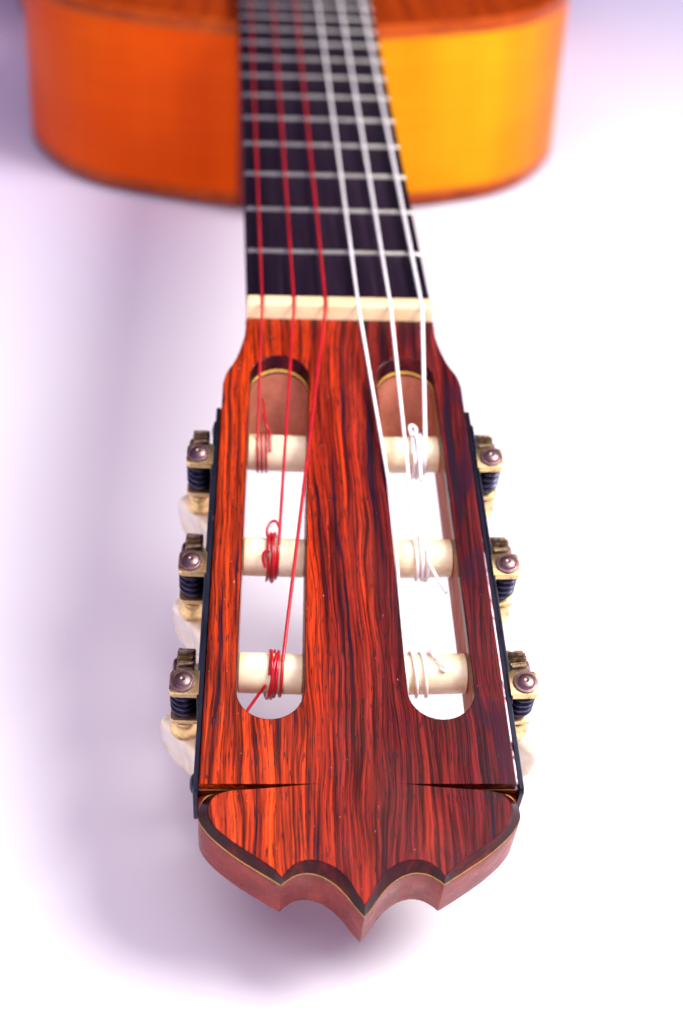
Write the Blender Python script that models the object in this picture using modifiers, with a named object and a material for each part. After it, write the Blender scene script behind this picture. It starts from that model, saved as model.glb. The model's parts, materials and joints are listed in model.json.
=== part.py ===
"""Classical guitar, lying on its back: +Y runs from the headstock to the tail, +X to the bass side, +Z up.

Lengths are in millimetres until a mesh is made, where MM turns them into metres. The origin is the centre
of the flat patch that the arched back rests on. The neck carries a slotted headstock with two plates of
three tuning machines; each machine has a worm that turns a gear, and the gear turns a string roller.
"""

import math

import bmesh
import bpy
import numpy as np
from mathutils import Matrix, Vector

MM = 0.001
GAP = 0.3

# Driving dimensions
SCALE_LENGTH = 650.0
BODY_LENGTH = 487.0
BODY_HALF = BODY_LENGTH / 2
RIM_LOW, RIM_HIGH = 3.0, 93.0
NUT_WIDTH, NUT_THICKNESS, NUT_RISE = 53.0, 5.5, 2.5
JOIN_WIDTH = 62.0
FRETS = 19
BOARD_THICKNESS = 7.2
HEAD_TILT = math.radians(20.0)
HEAD_THICKNESS = 17.5
ROLLER_SPACING = 35.0
GEAR_TEETH = 14

# Heights and places that follow from them
BOARD_LOW = RIM_HIGH + GAP
BOARD_HIGH = BOARD_LOW + BOARD_THICKNESS
NUT_Y = -BODY_HALF - SCALE_LENGTH / 2
SADDLE_Y = NUT_Y + SCALE_LENGTH + 2.0
NUT_HIGH = BOARD_HIGH + NUT_RISE
FACE_Y, FACE_Z = NUT_Y - NUT_THICKNESS, BOARD_HIGH - NUT_RISE

# Body shell
BINDING, BINDING_HEIGHT = 2.2, 6.0
PLATE_INSET = BINDING + GAP
TOP_THICKNESS, BACK_THICKNESS = 2.5, 2.5
LINING, LINING_HEIGHT = 6.0, 14.0
LINING_INSET = PLATE_INSET + LINING
BRACE_HIGH = RIM_HIGH - TOP_THICKNESS - GAP
BACK_INNER = RIM_LOW + BACK_THICKNESS + GAP
# Share of the way from the centre to the rim that the back lies flat on the ground
REST_PATCH = 0.2
NECK_HALF = JOIN_WIDTH / 2
SHOULDER_HALF = 35.0
# Half width against distance behind the neck join, round one side of the body
SIDE_CURVE = (
    (35.0, 0.0), (52.0, 5.5), (75.0, 14.0), (101.0, 27.0), (121.0, 47.0), (137.0, 76.0),
    (143.5, 103.0), (140.5, 132.0), (130.0, 163.0), (120.5, 190.0), (118.0, 212.0),
    (124.0, 240.0), (141.0, 271.0), (161.0, 302.0), (175.5, 334.0), (182.5, 369.0),
    (180.0, 402.0), (166.0, 433.0), (143.0, 457.0), (111.0, 474.0), (73.0, 483.0),
    (36.0, 486.3), (0.0, BODY_LENGTH),
)
HOLE_Y, HOLE_RADIUS = -91.0, 42.5
ROSETTE_INNER, ROSETTE_OUTER, ROSETTE_DEPTH = 46.0, 60.0, 1.0

# Fret tangs and crowns, and the strip that joins the frets inside the board
TANG_DEPTH, TANG_HALF, CROWN_HALF, CROWN_HEIGHT = 2.9, 0.3, 1.1, 1.1
SPINE_HALF, SPINE_HEIGHT = 1.0, 0.9

# Bridge: heights above its base, and lengths from the saddle towards the tail
BRIDGE_BASE = BOARD_LOW
BRIDGE_FRONT, TIE_START, TIE_END = SADDLE_Y - 8.0, SADDLE_Y + 7.0, SADDLE_Y + 19.0
TIE_HEIGHT, TIE_HOLE_HEIGHT, TROUGH_HEIGHT, WING_HEIGHT = 9.0, 5.0, 3.6, 3.0
SADDLE_BED_HEIGHT, FRONT_HEIGHT, BEHIND_SADDLE_HEIGHT = 3.4, 8.6, 6.6
BRIDGE_HALF, BRIDGE_WING = 41.0, 96.0
SADDLE_HALF, SADDLE_HALF_THICKNESS = 40.0, 1.25

# Headstock: s runs from the nut towards the tip, d down from the face
FLARE = ((26.9, 0.0), (27.3, 7.0), (29.5, 15.5), (32.1, 21.0), (33.0, 25.0))
EDGE_START, EDGE_END = (33.0, 25.0), (36.6, 149.0)
CROWN_SHOULDER = ((36.4, 154.0), (34.5, 158.6), (31.2, 162.0), (26.6, 165.6), (18.0, 170.8))
CROWN_SCALLOP = ((18.0, 170.8), (13.8, 168.3), (8.9, 168.9), (4.4, 172.5), (0.0, 178.2))
EDGE_ANGLE = math.atan2(EDGE_END[0] - EDGE_START[0], EDGE_END[1] - EDGE_START[1])
PLATE_THICKNESS, ACCENT_THICKNESS = 2.7, 0.6
CORE_TOP = PLATE_THICKNESS + ACCENT_THICKNESS + 2 * GAP
RAIL, SLOT_WIDTH = 7.5, 16.0
SLOT_NUT_END, SLOT_NUT_END_LOW, SLOT_TIP_END = 14.2, 30.0, 130.0
GROOVE_S, GROOVE_WIDTH, GROOVE_REACH, GROOVE_DEPTH = 147.0, 3.0, 10.0, 1.2

# Tuning machines: u runs outward from the edge of the headstock, e along the edge from its start
ROLLER_E = tuple(17.6 + ROLLER_SPACING * i for i in range(3))
ROLLER_DEPTH, ROLLER_RADIUS, JOURNAL_RADIUS = 8.3, 5.0, 3.5
ROLLER_INNER = -(RAIL + SLOT_WIDTH) - 3.7
AXLE_RADIUS, AXLE_HEAD_RADIUS = 2.0, 3.4
GEAR_U, GEAR_WIDTH = 5.2, 3.0
GEAR_PITCH_RADIUS, GEAR_OUTER, GEAR_ROOT = 5.1, 5.5, 4.2
WORM_OFFSET = 8.0
WORM_PITCH = 2 * math.pi * GEAR_PITCH_RADIUS / GEAR_TEETH
WORM_OUTER, WORM_ROOT = 3.4, 2.2
MACHINE_PLATE = 1.2
MACHINE_START, MACHINE_END = 7.8, 124.0
MACHINE_HIGH, MACHINE_LOW, MACHINE_CORNER = 1.0, 15.4, 1.4
LUG_REACH, LUG_LENGTH = 8.6, 6.8
UPPER_LUG, LOWER_LUG = (0.0, 2.2), (12.9, 14.6)
COLLAR_START, BUTTON_START, BUTTON_END = 15.0, 23.3, 42.0
BUTTON_HALF_WIDTH, BUTTON_HALF_THICKNESS = 9.0, 3.4
BUTTON_TURNS = {"treble": (-48.0, -52.0, -45.0), "bass": (78.0, 80.0, -35.0)}

# Strings, from the treble side to the bass side, with the roller that each one winds on
STRING_RADII = (0.36, 0.42, 0.51, 0.37, 0.45, 0.55)
STRING_SPREAD_NUT, STRING_SPREAD_SADDLE = 9.0, 11.6
STRING_ROLLERS = (0, 1, 2, 2, 1, 0)
ROLLER_X = (-21.5, -18.4, -17.6, 15.5, 17.2, 21.8)
STRING_NUT_Z, STRING_SADDLE_Z = NUT_HIGH - 0.4, RIM_HIGH + 13.5

SIDES = {"treble": -1, "bass": 1}
ALONG_X = Matrix(((0, 0, 1, 0), (1, 0, 0, 0), (0, 1, 0, 0), (0, 0, 0, 1)))

COLOURS = {
    "cedar": (0.36, 0.13, 0.06),
    "orange_rosewood": (0.62, 0.20, 0.03),
    "cocobolo": (0.60, 0.16, 0.04),
    "mahogany": (0.34, 0.12, 0.07),
    "ebony": (0.03, 0.025, 0.03),
    "spruce": (0.70, 0.52, 0.30),
    "yellow_veneer": (0.75, 0.42, 0.05),
    "bone": (0.85, 0.79, 0.66),
    "fret_metal": (0.70, 0.68, 0.60),
    "brass": (0.80, 0.55, 0.18),
    "black_metal": (0.03, 0.03, 0.05),
    "pearl": (0.86, 0.82, 0.72),
    "red_nylon": (0.55, 0.04, 0.03),
    "white_wound": (0.82, 0.82, 0.80),
}
METALS = {"fret_metal", "brass", "black_metal"}


def collection_named(name):
    collection = bpy.data.collections.new(name)
    bpy.context.scene.collection.children.link(collection)
    return collection


def material_named(name, colour):
    material = bpy.data.materials.new(name)
    material.use_nodes = True
    shader = material.node_tree.nodes["Principled BSDF"]
    shader.inputs["Base Color"].default_value = (*COLOURS[colour], 1.0)
    shader.inputs["Roughness"].default_value = 0.3
    shader.inputs["Metallic"].default_value = float(colour in METALS)
    return material


def add_piece(name, mesh, colour, parent=None, place=(0, 0, 0)):
    mesh.name = name
    mesh.materials.clear()
    mesh.materials.append(material_named(name, colour))
    piece = bpy.data.objects.new(name, mesh)
    guitar.objects.link(piece)
    piece.parent = parent
    piece.location = Vector(place) * MM
    return piece


def add_cutter(name, mesh, parent=None, place=(0, 0, 0)):
    cutter = bpy.data.objects.new(name, mesh)
    cutters.objects.link(cutter)
    cutter.hide_render = True
    cutter.display_type = "WIRE"
    cutter.parent = parent
    cutter.location = Vector(place) * MM
    return cutter


def use_boolean(piece, operation, name, mesh, parent=None, place=(0, 0, 0)):
    modifier = piece.modifiers.new(name, "BOOLEAN")
    modifier.operation = operation
    modifier.object = add_cutter(name, mesh, parent, place)
    return modifier


def mesh_of(shape):
    bmesh.ops.recalc_face_normals(shape, faces=shape.faces)
    mesh = bpy.data.meshes.new("shape")
    shape.to_mesh(mesh)
    shape.free()
    return mesh


def flat_mesh(outlines, low, high, turn=None):
    """The closed outlines filled in XY and extruded from low to high along Z, then turned."""
    curve = bpy.data.curves.new("outline", "CURVE")
    curve.dimensions = "2D"
    curve.fill_mode = "BOTH"
    curve.extrude = (high - low) / 2 * MM
    for outline in outlines:
        spline = curve.splines.new("POLY")
        spline.points.add(len(outline) - 1)
        spline.use_cyclic_u = True
        for point, (x, y) in zip(spline.points, outline):
            point.co = (x * MM, y * MM, 0, 1)
    guide = bpy.data.objects.new("outline", curve)
    cutters.objects.link(guide)
    bpy.context.view_layer.update()
    graph = bpy.context.evaluated_depsgraph_get()
    mesh = bpy.data.meshes.new_from_object(guide.evaluated_get(graph))
    bpy.data.objects.remove(guide)
    shape = bmesh.new()
    shape.from_mesh(mesh)
    bmesh.ops.remove_doubles(shape, verts=shape.verts, dist=1e-6)
    bmesh.ops.translate(shape, verts=shape.verts, vec=(0, 0, (low + high) / 2 * MM))
    if turn:
        bmesh.ops.transform(shape, matrix=turn, verts=shape.verts)
    return mesh_of(shape)


def box_mesh(low, high):
    shape = bmesh.new()
    add_box(shape, low, high)
    return mesh_of(shape)


def add_box(shape, low, high):
    low, high = Vector(low) * MM, Vector(high) * MM
    made = bmesh.ops.create_cube(shape, size=1.0)
    bmesh.ops.scale(shape, vec=high - low, verts=made["verts"])
    bmesh.ops.translate(shape, vec=(low + high) / 2, verts=made["verts"])


def add_rod(shape, centre, axis, radius, length, sides=16):
    turn = Vector((0, 0, 1)).rotation_difference(Vector(axis)).to_matrix().to_4x4()
    bmesh.ops.create_cone(
        shape, cap_ends=True, segments=sides, radius1=radius * MM, radius2=radius * MM,
        depth=length * MM, matrix=Matrix.Translation(Vector(centre) * MM) @ turn,
    )


def loft_mesh(rings):
    """Closed rings with equal numbers of points, joined in turn and capped at both ends."""
    shape = bmesh.new()
    rows = [[shape.verts.new(Vector(point) * MM) for point in ring] for ring in rings]
    for row, following in zip(rows, rows[1:]):
        for i in range(len(row)):
            j = (i + 1) % len(row)
            shape.faces.new((row[i], row[j], following[j], following[i]))
    shape.faces.new(rows[0])
    shape.faces.new(rows[-1])
    return mesh_of(shape)


def turned_mesh(profile, steps=10):
    """A profile of (radius, height) pairs, from top to bottom, turned about Z."""
    shape = bmesh.new()
    points = [shape.verts.new((radius * MM, 0, height * MM)) for radius, height in profile]
    for a, b in zip(points, points[1:]):
        shape.edges.new((a, b))
    mesh = bpy.data.meshes.new("profile")
    shape.to_mesh(mesh)
    shape.free()
    guide = bpy.data.objects.new("profile", mesh)
    cutters.objects.link(guide)
    screw = guide.modifiers.new("turn", "SCREW")
    screw.steps = screw.render_steps = steps
    screw.use_merge_vertices = True
    screw.merge_threshold = 1e-6
    bpy.context.view_layer.update()
    graph = bpy.context.evaluated_depsgraph_get()
    turned = bpy.data.meshes.new_from_object(guide.evaluated_get(graph))
    bpy.data.objects.remove(guide)
    return turned


def smooth_through(points, steps=4):
    """A Catmull-Rom curve through the points, ends included."""
    points = [np.array(point, float) for point in points]
    padded = [2 * points[0] - points[1], *points, 2 * points[-1] - points[-2]]
    found = []
    for a, b, c, d in zip(padded, padded[1:], padded[2:], padded[3:]):
        for t in np.arange(steps) / steps:
            cubic = (3 * b - a - 3 * c + d) * t**3 + (2 * a - 5 * b + 4 * c - d) * t**2
            found.append(b + ((c - a) * t + cubic) / 2)
    found.append(points[-1])
    return [tuple(point) for point in found]


def mirrored_round(half):
    """The half outline at +X followed by its mirror image, leaving out points shared at X = 0."""
    return list(half) + [(-x, y) for x, y in reversed(half) if x > 1e-6]


def half_rim(inset, start_x=0.0):
    """Half of the body's outline at +X, from the neck to the tail, moved inward by the inset."""
    curve = [(x, y - BODY_HALF) for x, y in SIDE_CURVE]
    rim = np.array([(start_x, -BODY_HALF), *curve])
    ahead, behind = np.roll(rim, -1, 0) - rim, rim - np.roll(rim, 1, 0)
    ahead[-1], behind[0] = (-1, 0), (1, 0)
    unit = [v / np.linalg.norm(v, axis=1)[:, None] for v in (ahead, behind)]
    inward = [np.stack((-v[:, 1], v[:, 0]), 1) for v in unit]
    mitre = inward[0] + inward[1]
    mitre *= 2 / (mitre**2).sum(1)[:, None]
    return [tuple(point) for point in rim + inset * mitre]


def c_ring(outer_inset, inner_inset):
    """A strip round the body, open where the neck comes through."""
    start = NECK_HALF + GAP
    outer = mirrored_round(half_rim(outer_inset, start))
    inner = mirrored_round(half_rim(inner_inset, start))
    return outer + inner[::-1]


def rim_radius(angle):
    points = np.array(mirrored_round(half_rim(PLATE_INSET)))
    angles = np.arctan2(points[:, 1], points[:, 0])
    order = np.argsort(angles)
    return np.interp(angle, angles[order], np.hypot(*points.T)[order], period=2 * math.pi)


def arch(k):
    """Height of the back's outer surface at the share k of the way from the centre to the rim."""
    return RIM_LOW * max(0.0, (k - REST_PATCH) / (1 - REST_PATCH)) ** 2


def back_inside(x, y):
    k = math.hypot(x, y) / rim_radius(math.atan2(y, x))
    return arch(k) + BACK_THICKNESS


def rim_half_width(y, inset):
    points = np.array(half_rim(inset))
    points = points[points[:, 0] > SHOULDER_HALF]
    return float(np.interp(y, points[:, 1], points[:, 0]))


def circle(centre, radius, count=32):
    turns = [2 * math.pi * i / count for i in range(count)]
    return [(centre[0] + radius * math.cos(t), centre[1] + radius * math.sin(t)) for t in turns]


def build_soundboard():
    outline = mirrored_round(half_rim(PLATE_INSET))
    hole = circle((0, HOLE_Y), HOLE_RADIUS, 36)
    low = RIM_HIGH - TOP_THICKNESS
    board = add_piece("soundboard", flat_mesh([outline, hole], low, RIM_HIGH), "cedar")
    rings = [circle((0, HOLE_Y), ROSETTE_OUTER + GAP, 36), circle((0, HOLE_Y), ROSETTE_INNER - GAP, 36)]
    groove = flat_mesh(rings, RIM_HIGH - ROSETTE_DEPTH - GAP, RIM_HIGH + 1)
    use_boolean(board, "DIFFERENCE", "rosette_groove", groove).solver = "MANIFOLD"
    rings = [circle((0, HOLE_Y), ROSETTE_OUTER, 36), circle((0, HOLE_Y), ROSETTE_INNER, 36)]
    add_piece("rosette", flat_mesh(rings, RIM_HIGH - ROSETTE_DEPTH, RIM_HIGH), "yellow_veneer")


def build_back():
    outline = mirrored_round(half_rim(PLATE_INSET))
    shares = (1.0, 0.8, 0.6, 0.4, REST_PATCH)
    outside = [[(x * k, y * k, arch(k)) for x, y in outline] for k in shares]
    inside = [[(x * k, y * k, arch(k) + BACK_THICKNESS) for x, y in outline] for k in shares]
    add_piece("back_plate", loft_mesh(outside[::-1] + inside), "orange_rosewood")


def build_shell_strips():
    rib_low, rib_high = RIM_LOW + BINDING_HEIGHT + GAP, RIM_HIGH - BINDING_HEIGHT - GAP
    for side, sign in SIDES.items():
        outer = half_rim(0.0, NECK_HALF + GAP)
        inner = half_rim(BINDING, NECK_HALF + GAP)
        for line in (outer, inner):
            line[-1] = (GAP / 2, line[-1][1])
        outline = [(sign * x, y) for x, y in outer + inner[::-1]]
        add_piece(f"{side}_rib", flat_mesh([outline], rib_low, rib_high), "orange_rosewood")
    binding, lining = c_ring(0.0, BINDING), c_ring(PLATE_INSET, LINING_INSET)
    top = flat_mesh([binding], RIM_HIGH - BINDING_HEIGHT, RIM_HIGH)
    add_piece("top_binding", top, "cocobolo")
    back = flat_mesh([binding], RIM_LOW, RIM_LOW + BINDING_HEIGHT)
    add_piece("back_binding", back, "cocobolo")
    top = flat_mesh([lining], BRACE_HIGH - LINING_HEIGHT, BRACE_HIGH)
    add_piece("top_lining", top, "spruce")
    back = flat_mesh([lining], BACK_INNER, BACK_INNER + LINING_HEIGHT)
    add_piece("back_lining", back, "spruce")


def build_tail_block():
    """A block inside the tail, with a rebate at each end where the lining runs behind it."""
    outer, inner, front = BODY_HALF - 3.2, BODY_HALF - LINING_INSET - 1.2, BODY_HALF - 22.0
    low, high = BACK_INNER, BRACE_HIGH
    step_low, step_high = low + LINING_HEIGHT + GAP, high - LINING_HEIGHT - GAP
    profile = [
        (front, low), (inner, low), (inner, step_low), (outer, step_low),
        (outer, step_high), (inner, step_high), (inner, high), (front, high),
    ]
    half = 32.0
    add_piece("tail_block", flat_mesh([profile], -half, half, ALONG_X), "mahogany")


def build_braces():
    bar_width, bar_height = 8.0, 18.0
    bars = {"upper_harmonic_bar": HOLE_Y - 68.0, "lower_harmonic_bar": HOLE_Y + 66.0}
    for name, y in bars.items():
        edges = (y - bar_width / 2, y + bar_width / 2)
        half = min(rim_half_width(edge, LINING_INSET) for edge in edges) - 2 * GAP
        low = (-half, edges[0], BRACE_HIGH - bar_height)
        add_piece(name, box_mesh(low, (half, edges[1], BRACE_HIGH)), "spruce")
    fan_start, fan_end, fan_width, fan_height = HOLE_Y + 78.0, 205.0, 7.0, 4.5
    for i in range(5):
        start_x, end_x = 22.0 * (i - 2), 52.0 * (i - 2)
        reach = fan_end - 9.0 * (i - 2) ** 2
        half = fan_width / 2
        outline = [
            (start_x - half, fan_start), (start_x + half, fan_start),
            (end_x + half, reach), (end_x - half, reach),
        ]
        mesh = flat_mesh([outline], BRACE_HIGH - fan_height, BRACE_HIGH)
        add_piece(f"fan_brace_{i + 1}", mesh, "spruce")
    build_back_braces()


def build_back_braces():
    width, height = 8.0, 16.0
    end_height, taper = 4.0, 25.0
    upright = Matrix.Rotation(math.pi / 2, 4, "X")
    for i, y in enumerate((-150.0, -30.0, 110.0)):
        edges = (y - width / 2, y + width / 2)
        half = min(rim_half_width(edge, LINING_INSET) for edge in edges) - 2 * GAP
        xs = np.linspace(-half, half, 11)
        profile = [(x, max(back_inside(x, edge) for edge in edges) + GAP) for x in xs]
        profile += [(half, profile[-1][1] + end_height), (half - taper, height)]
        profile += [(taper - half, height), (-half, profile[0][1] + end_height)]
        mesh = flat_mesh([profile], -y - width / 2, -y + width / 2, upright)
        add_piece(f"back_brace_{i + 1}", mesh, "spruce")


def board_half_width(y):
    """Half width of the fingerboard at a distance from the nut."""
    return (NUT_WIDTH + (JOIN_WIDTH - NUT_WIDTH) * y / (SCALE_LENGTH / 2)) / 2


def fret_place(n):
    return SCALE_LENGTH * (1 - 2 ** (-n / 12))


def build_fingerboard():
    end = fret_place(FRETS) + 3.5
    corners = [(board_half_width(GAP), NUT_Y + GAP), (board_half_width(end), NUT_Y + end)]
    outline = corners + [(-x, y) for x, y in reversed(corners)]
    board = add_piece("fingerboard", flat_mesh([outline], BOARD_LOW, BOARD_HIGH), "ebony")
    slots, tunnel = bmesh.new(), bmesh.new()
    low = BOARD_HIGH - TANG_DEPTH
    for n in range(1, FRETS + 1):
        y, half = NUT_Y + fret_place(n), TANG_HALF + GAP
        add_box(slots, (-40, y - half, low - GAP), (40, y + half, BOARD_HIGH + 1))
    start, stop = NUT_Y + fret_place(1), NUT_Y + fret_place(FRETS)
    half = SPINE_HALF + GAP
    add_box(tunnel, (-half, start, low - GAP + 0.05), (half, stop, low + SPINE_HEIGHT + GAP))
    use_boolean(board, "DIFFERENCE", "fret_slots", mesh_of(slots))
    use_boolean(board, "DIFFERENCE", "fret_spine_tunnel", mesh_of(tunnel))
    build_frets(low, start, stop)


def build_frets(low, start, stop):
    """Nineteen frets. A thin strip through the board holds them together as one piece."""
    shape = bmesh.new()
    seat = BOARD_HIGH + GAP
    crest = 0.5 * CROWN_HALF
    section = [
        (-TANG_HALF, low - seat), (TANG_HALF, low - seat), (TANG_HALF, 0.0), (CROWN_HALF, 0.0),
        (crest, CROWN_HEIGHT), (-crest, CROWN_HEIGHT), (-CROWN_HALF, 0.0), (-TANG_HALF, 0.0),
    ]
    for n in range(1, FRETS + 1):
        place = fret_place(n)
        half = board_half_width(place) - 0.4
        rings = [[(x, NUT_Y + place + y, seat + z) for y, z in section] for x in (-half, half)]
        shape.from_mesh(loft_mesh(rings))
    frets = add_piece("fret_set", mesh_of(shape), "fret_metal")
    spine = box_mesh((-SPINE_HALF, start, low + 0.05), (SPINE_HALF, stop, low + SPINE_HEIGHT))
    use_boolean(frets, "UNION", "fret_spine", spine)


def neck_section(y, half_width, depth):
    """A D section below the fingerboard: flat on top, round at the back."""
    turns = [math.pi * i / 14 for i in range(15)]
    return [
        (half_width * math.cos(t), y, RIM_HIGH - depth * math.sin(t) ** 0.75) for t in turns
    ]


def heel_section(z, half_width, reach):
    turns = [math.pi * i / 12 for i in range(13)]
    back = -BODY_HALF + 1.0
    curve = [
        (half_width * math.cos(t), -BODY_HALF - reach * math.sin(t) ** 1.2, z) for t in turns
    ]
    return [(half_width, back, z), *curve, (-half_width, back, z)]


def build_neck():
    stations = [(0.0, 14.0), (60.0, 14.6), (230.0, 15.6), (290.0, 17.0), (326.0, 19.0)]
    rings = [neck_section(NUT_Y - 4.0, board_half_width(0), 13.6)]
    rings += [neck_section(NUT_Y + y, board_half_width(y), depth) for y, depth in stations]
    neck = add_piece("neck", loft_mesh(rings), "mahogany")
    levels = [
        (86.0, 30.6, 74.0), (78.0, 29.8, 66.0), (72.0, 28.4, 45.0), (62.0, 26.0, 31.0),
        (45.0, 21.5, 23.5), (25.0, 17.5, 20.5), (RIM_LOW + GAP, 16.0, 21.0),
    ]
    heel = loft_mesh([heel_section(*level) for level in levels])
    use_boolean(neck, "UNION", "heel", heel)
    front = -BODY_HALF + BINDING
    collar = box_mesh((-NECK_HALF, -BODY_HALF - 0.5, RIM_LOW + GAP), (NECK_HALF, front, RIM_HIGH))
    use_boolean(neck, "UNION", "heel_collar", collar)
    block_end, foot_end = -BODY_HALF + 30.0, -BODY_HALF + 72.0
    block = box_mesh((-NECK_HALF, front - 1, BACK_INNER), (NECK_HALF, block_end, BRACE_HIGH))
    use_boolean(neck, "UNION", "heel_block", block)
    foot = box_mesh((-26, block_end - 1, BACK_INNER), (26, foot_end, BACK_INNER + 13))
    use_boolean(neck, "UNION", "heel_foot", foot)
    core = flat_mesh([head_outline(-14.0)], -HEAD_THICKNESS, -CORE_TOP)
    use_boolean(neck, "UNION", "head_core", core, head_frame)
    cut_head_openings(neck, "neck")
    use_boolean(neck, "DIFFERENCE", "roller_bores", roller_bores(), head_frame)


def roller_bores():
    """Blind holes in from both edges of the headstock for the rollers' journals."""
    bores = bmesh.new()
    start, end = ROLLER_INNER - GAP, 5.0
    for sign in SIDES.values():
        axis = (math.cos(EDGE_ANGLE), sign * math.sin(EDGE_ANGLE), 0)
        for e in ROLLER_E:
            centre = side_point(sign, (start + end) / 2, e, ROLLER_DEPTH)
            add_rod(bores, centre, axis, JOURNAL_RADIUS + GAP, end - start, 10)
    return mesh_of(bores)


def side_point(sign, u, e, d):
    """A point beside one edge of the headstock, in the headstock's own frame."""
    across, along = math.cos(EDGE_ANGLE), math.sin(EDGE_ANGLE)
    x = EDGE_START[0] + u * across + e * along
    s = EDGE_START[1] - u * along + e * across
    return (sign * x, -s, -d)


def head_outline(start_s=GAP):
    """The headstock's outline seen on its face, with Y running from the tip to the nut."""
    flare = [(x, max(s, start_s)) for x, s in smooth_through(FLARE, 3)]
    flare[0] = (FLARE[0][0], start_s)
    shoulder = smooth_through(CROWN_SHOULDER, 3)[:-1]
    half = flare + [EDGE_END] + shoulder + smooth_through(CROWN_SCALLOP, 4)
    return [(x, -s) for x, s in mirrored_round(half)]


def slot_ring(sign, s_start, depth):
    """One slot's outline at a depth: straight sides along the edge of the headstock, round ends."""
    radius = SLOT_WIDTH / 2
    middle = -RAIL - radius
    start, stop = s_start - EDGE_START[1] + radius, SLOT_TIP_END - EDGE_START[1] - radius
    ends = ((stop, 0.0), (start, math.pi))
    points = []
    for e, turn in ends:
        for i in range(7):
            angle = turn + math.pi * i / 6
            points.append((middle + radius * math.cos(angle), e + radius * math.sin(angle)))
    return [side_point(sign, u, e, depth) for u, e in points]


def cut_head_openings(piece, name):
    """Room for the nut and the fingerboard, and the two string slots with their sloping nut ends."""
    seat = box_mesh((-40, FACE_Y - GAP, RIM_HIGH), (40, NUT_Y + 40, RIM_HIGH + 30))
    use_boolean(piece, "DIFFERENCE", f"{name}_nut_seat", seat)
    slope = (SLOT_NUT_END_LOW - SLOT_NUT_END) / HEAD_THICKNESS
    for side, sign in SIDES.items():
        depths = (-1.0, HEAD_THICKNESS + 1.0)
        rings = [slot_ring(sign, SLOT_NUT_END + slope * depth, depth) for depth in depths]
        use_boolean(piece, "DIFFERENCE", f"{name}_{side}_slot", loft_mesh(rings), head_frame)


def build_head_layers():
    plate = flat_mesh([head_outline()], -PLATE_THICKNESS, 0.0)
    plate = add_piece("head_plate", plate, "cocobolo", head_frame)
    low = PLATE_THICKNESS + GAP + ACCENT_THICKNESS
    accent = flat_mesh([head_outline()], -low, -PLATE_THICKNESS - GAP)
    accent = add_piece("head_accent_veneer", accent, "yellow_veneer", head_frame)
    cut_head_openings(plate, "plate")
    cut_head_openings(accent, "accent")
    outside = EDGE_END[0] + 1
    for side, sign in SIDES.items():
        wedge = [
            (sign * outside, -GROOVE_S), (sign * outside, -GROOVE_S - GROOVE_WIDTH),
            (sign * GROOVE_REACH, -GROOVE_S - 0.5),
        ]
        groove = flat_mesh([wedge], -GROOVE_DEPTH, 1.0)
        use_boolean(plate, "DIFFERENCE", f"{side}_groove", groove, head_frame)


def string_nut_x(i):
    return STRING_SPREAD_NUT * (i - 2.5)


def string_saddle_x(i):
    return STRING_SPREAD_SADDLE * (i - 2.5)


def build_nut():
    low = (-NUT_WIDTH / 2, FACE_Y, BOARD_LOW)
    nut = add_piece("nut", box_mesh(low, (NUT_WIDTH / 2, NUT_Y, NUT_HIGH)), "bone")
    slots = bmesh.new()
    for i, radius in enumerate(STRING_RADII):
        centre = (string_nut_x(i), FACE_Y + NUT_THICKNESS / 2, STRING_NUT_Z)
        add_rod(slots, centre, (0, 1, 0), radius + GAP, NUT_THICKNESS + 2, 8)
    use_boolean(nut, "DIFFERENCE", "nut_slots", mesh_of(slots))


def bridge_profile():
    """Section from the front edge, over the saddle's slot and the trough, to the tie block."""
    slot = SADDLE_HALF_THICKNESS + GAP
    bevel, slope = 1.0, 3.2
    outline = [
        (BRIDGE_FRONT, 0.0), (TIE_END, 0.0), (TIE_END, TIE_HEIGHT - bevel),
        (TIE_END - bevel, TIE_HEIGHT), (TIE_START, TIE_HEIGHT), (TIE_START, TROUGH_HEIGHT),
        (SADDLE_Y + slope + bevel, TROUGH_HEIGHT), (SADDLE_Y + slope, BEHIND_SADDLE_HEIGHT),
        (SADDLE_Y + slot, BEHIND_SADDLE_HEIGHT), (SADDLE_Y + slot, SADDLE_BED_HEIGHT),
        (SADDLE_Y - slot, SADDLE_BED_HEIGHT), (SADDLE_Y - slot, FRONT_HEIGHT),
        (BRIDGE_FRONT + slope, FRONT_HEIGHT), (BRIDGE_FRONT, FRONT_HEIGHT / 2),
    ]
    return [(y, BRIDGE_BASE + height) for y, height in outline]


def build_bridge():
    mesh = flat_mesh([bridge_profile()], -BRIDGE_HALF, BRIDGE_HALF, ALONG_X)
    bridge = add_piece("bridge", mesh, "ebony")
    low = (-BRIDGE_WING, BRIDGE_FRONT, BRIDGE_BASE)
    wings = box_mesh(low, (BRIDGE_WING, TIE_END, BRIDGE_BASE + WING_HEIGHT))
    use_boolean(bridge, "UNION", "bridge_wings", wings)
    holes = bmesh.new()
    for i, radius in enumerate(STRING_RADII):
        centre = (string_saddle_x(i), (TIE_START + TIE_END) / 2, BRIDGE_BASE + TIE_HOLE_HEIGHT)
        add_rod(holes, centre, (0, 1, 0), radius + GAP, TIE_END - TIE_START + 2, 8)
    use_boolean(bridge, "DIFFERENCE", "tie_holes", mesh_of(holes))
    top = STRING_SADDLE_Z - max(STRING_RADII) - GAP
    low = (-SADDLE_HALF, SADDLE_Y - SADDLE_HALF_THICKNESS, BRIDGE_BASE + SADDLE_BED_HEIGHT + GAP)
    high = (SADDLE_HALF, SADDLE_Y + SADDLE_HALF_THICKNESS, top)
    add_piece("saddle", box_mesh(low, high), "bone")


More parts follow.
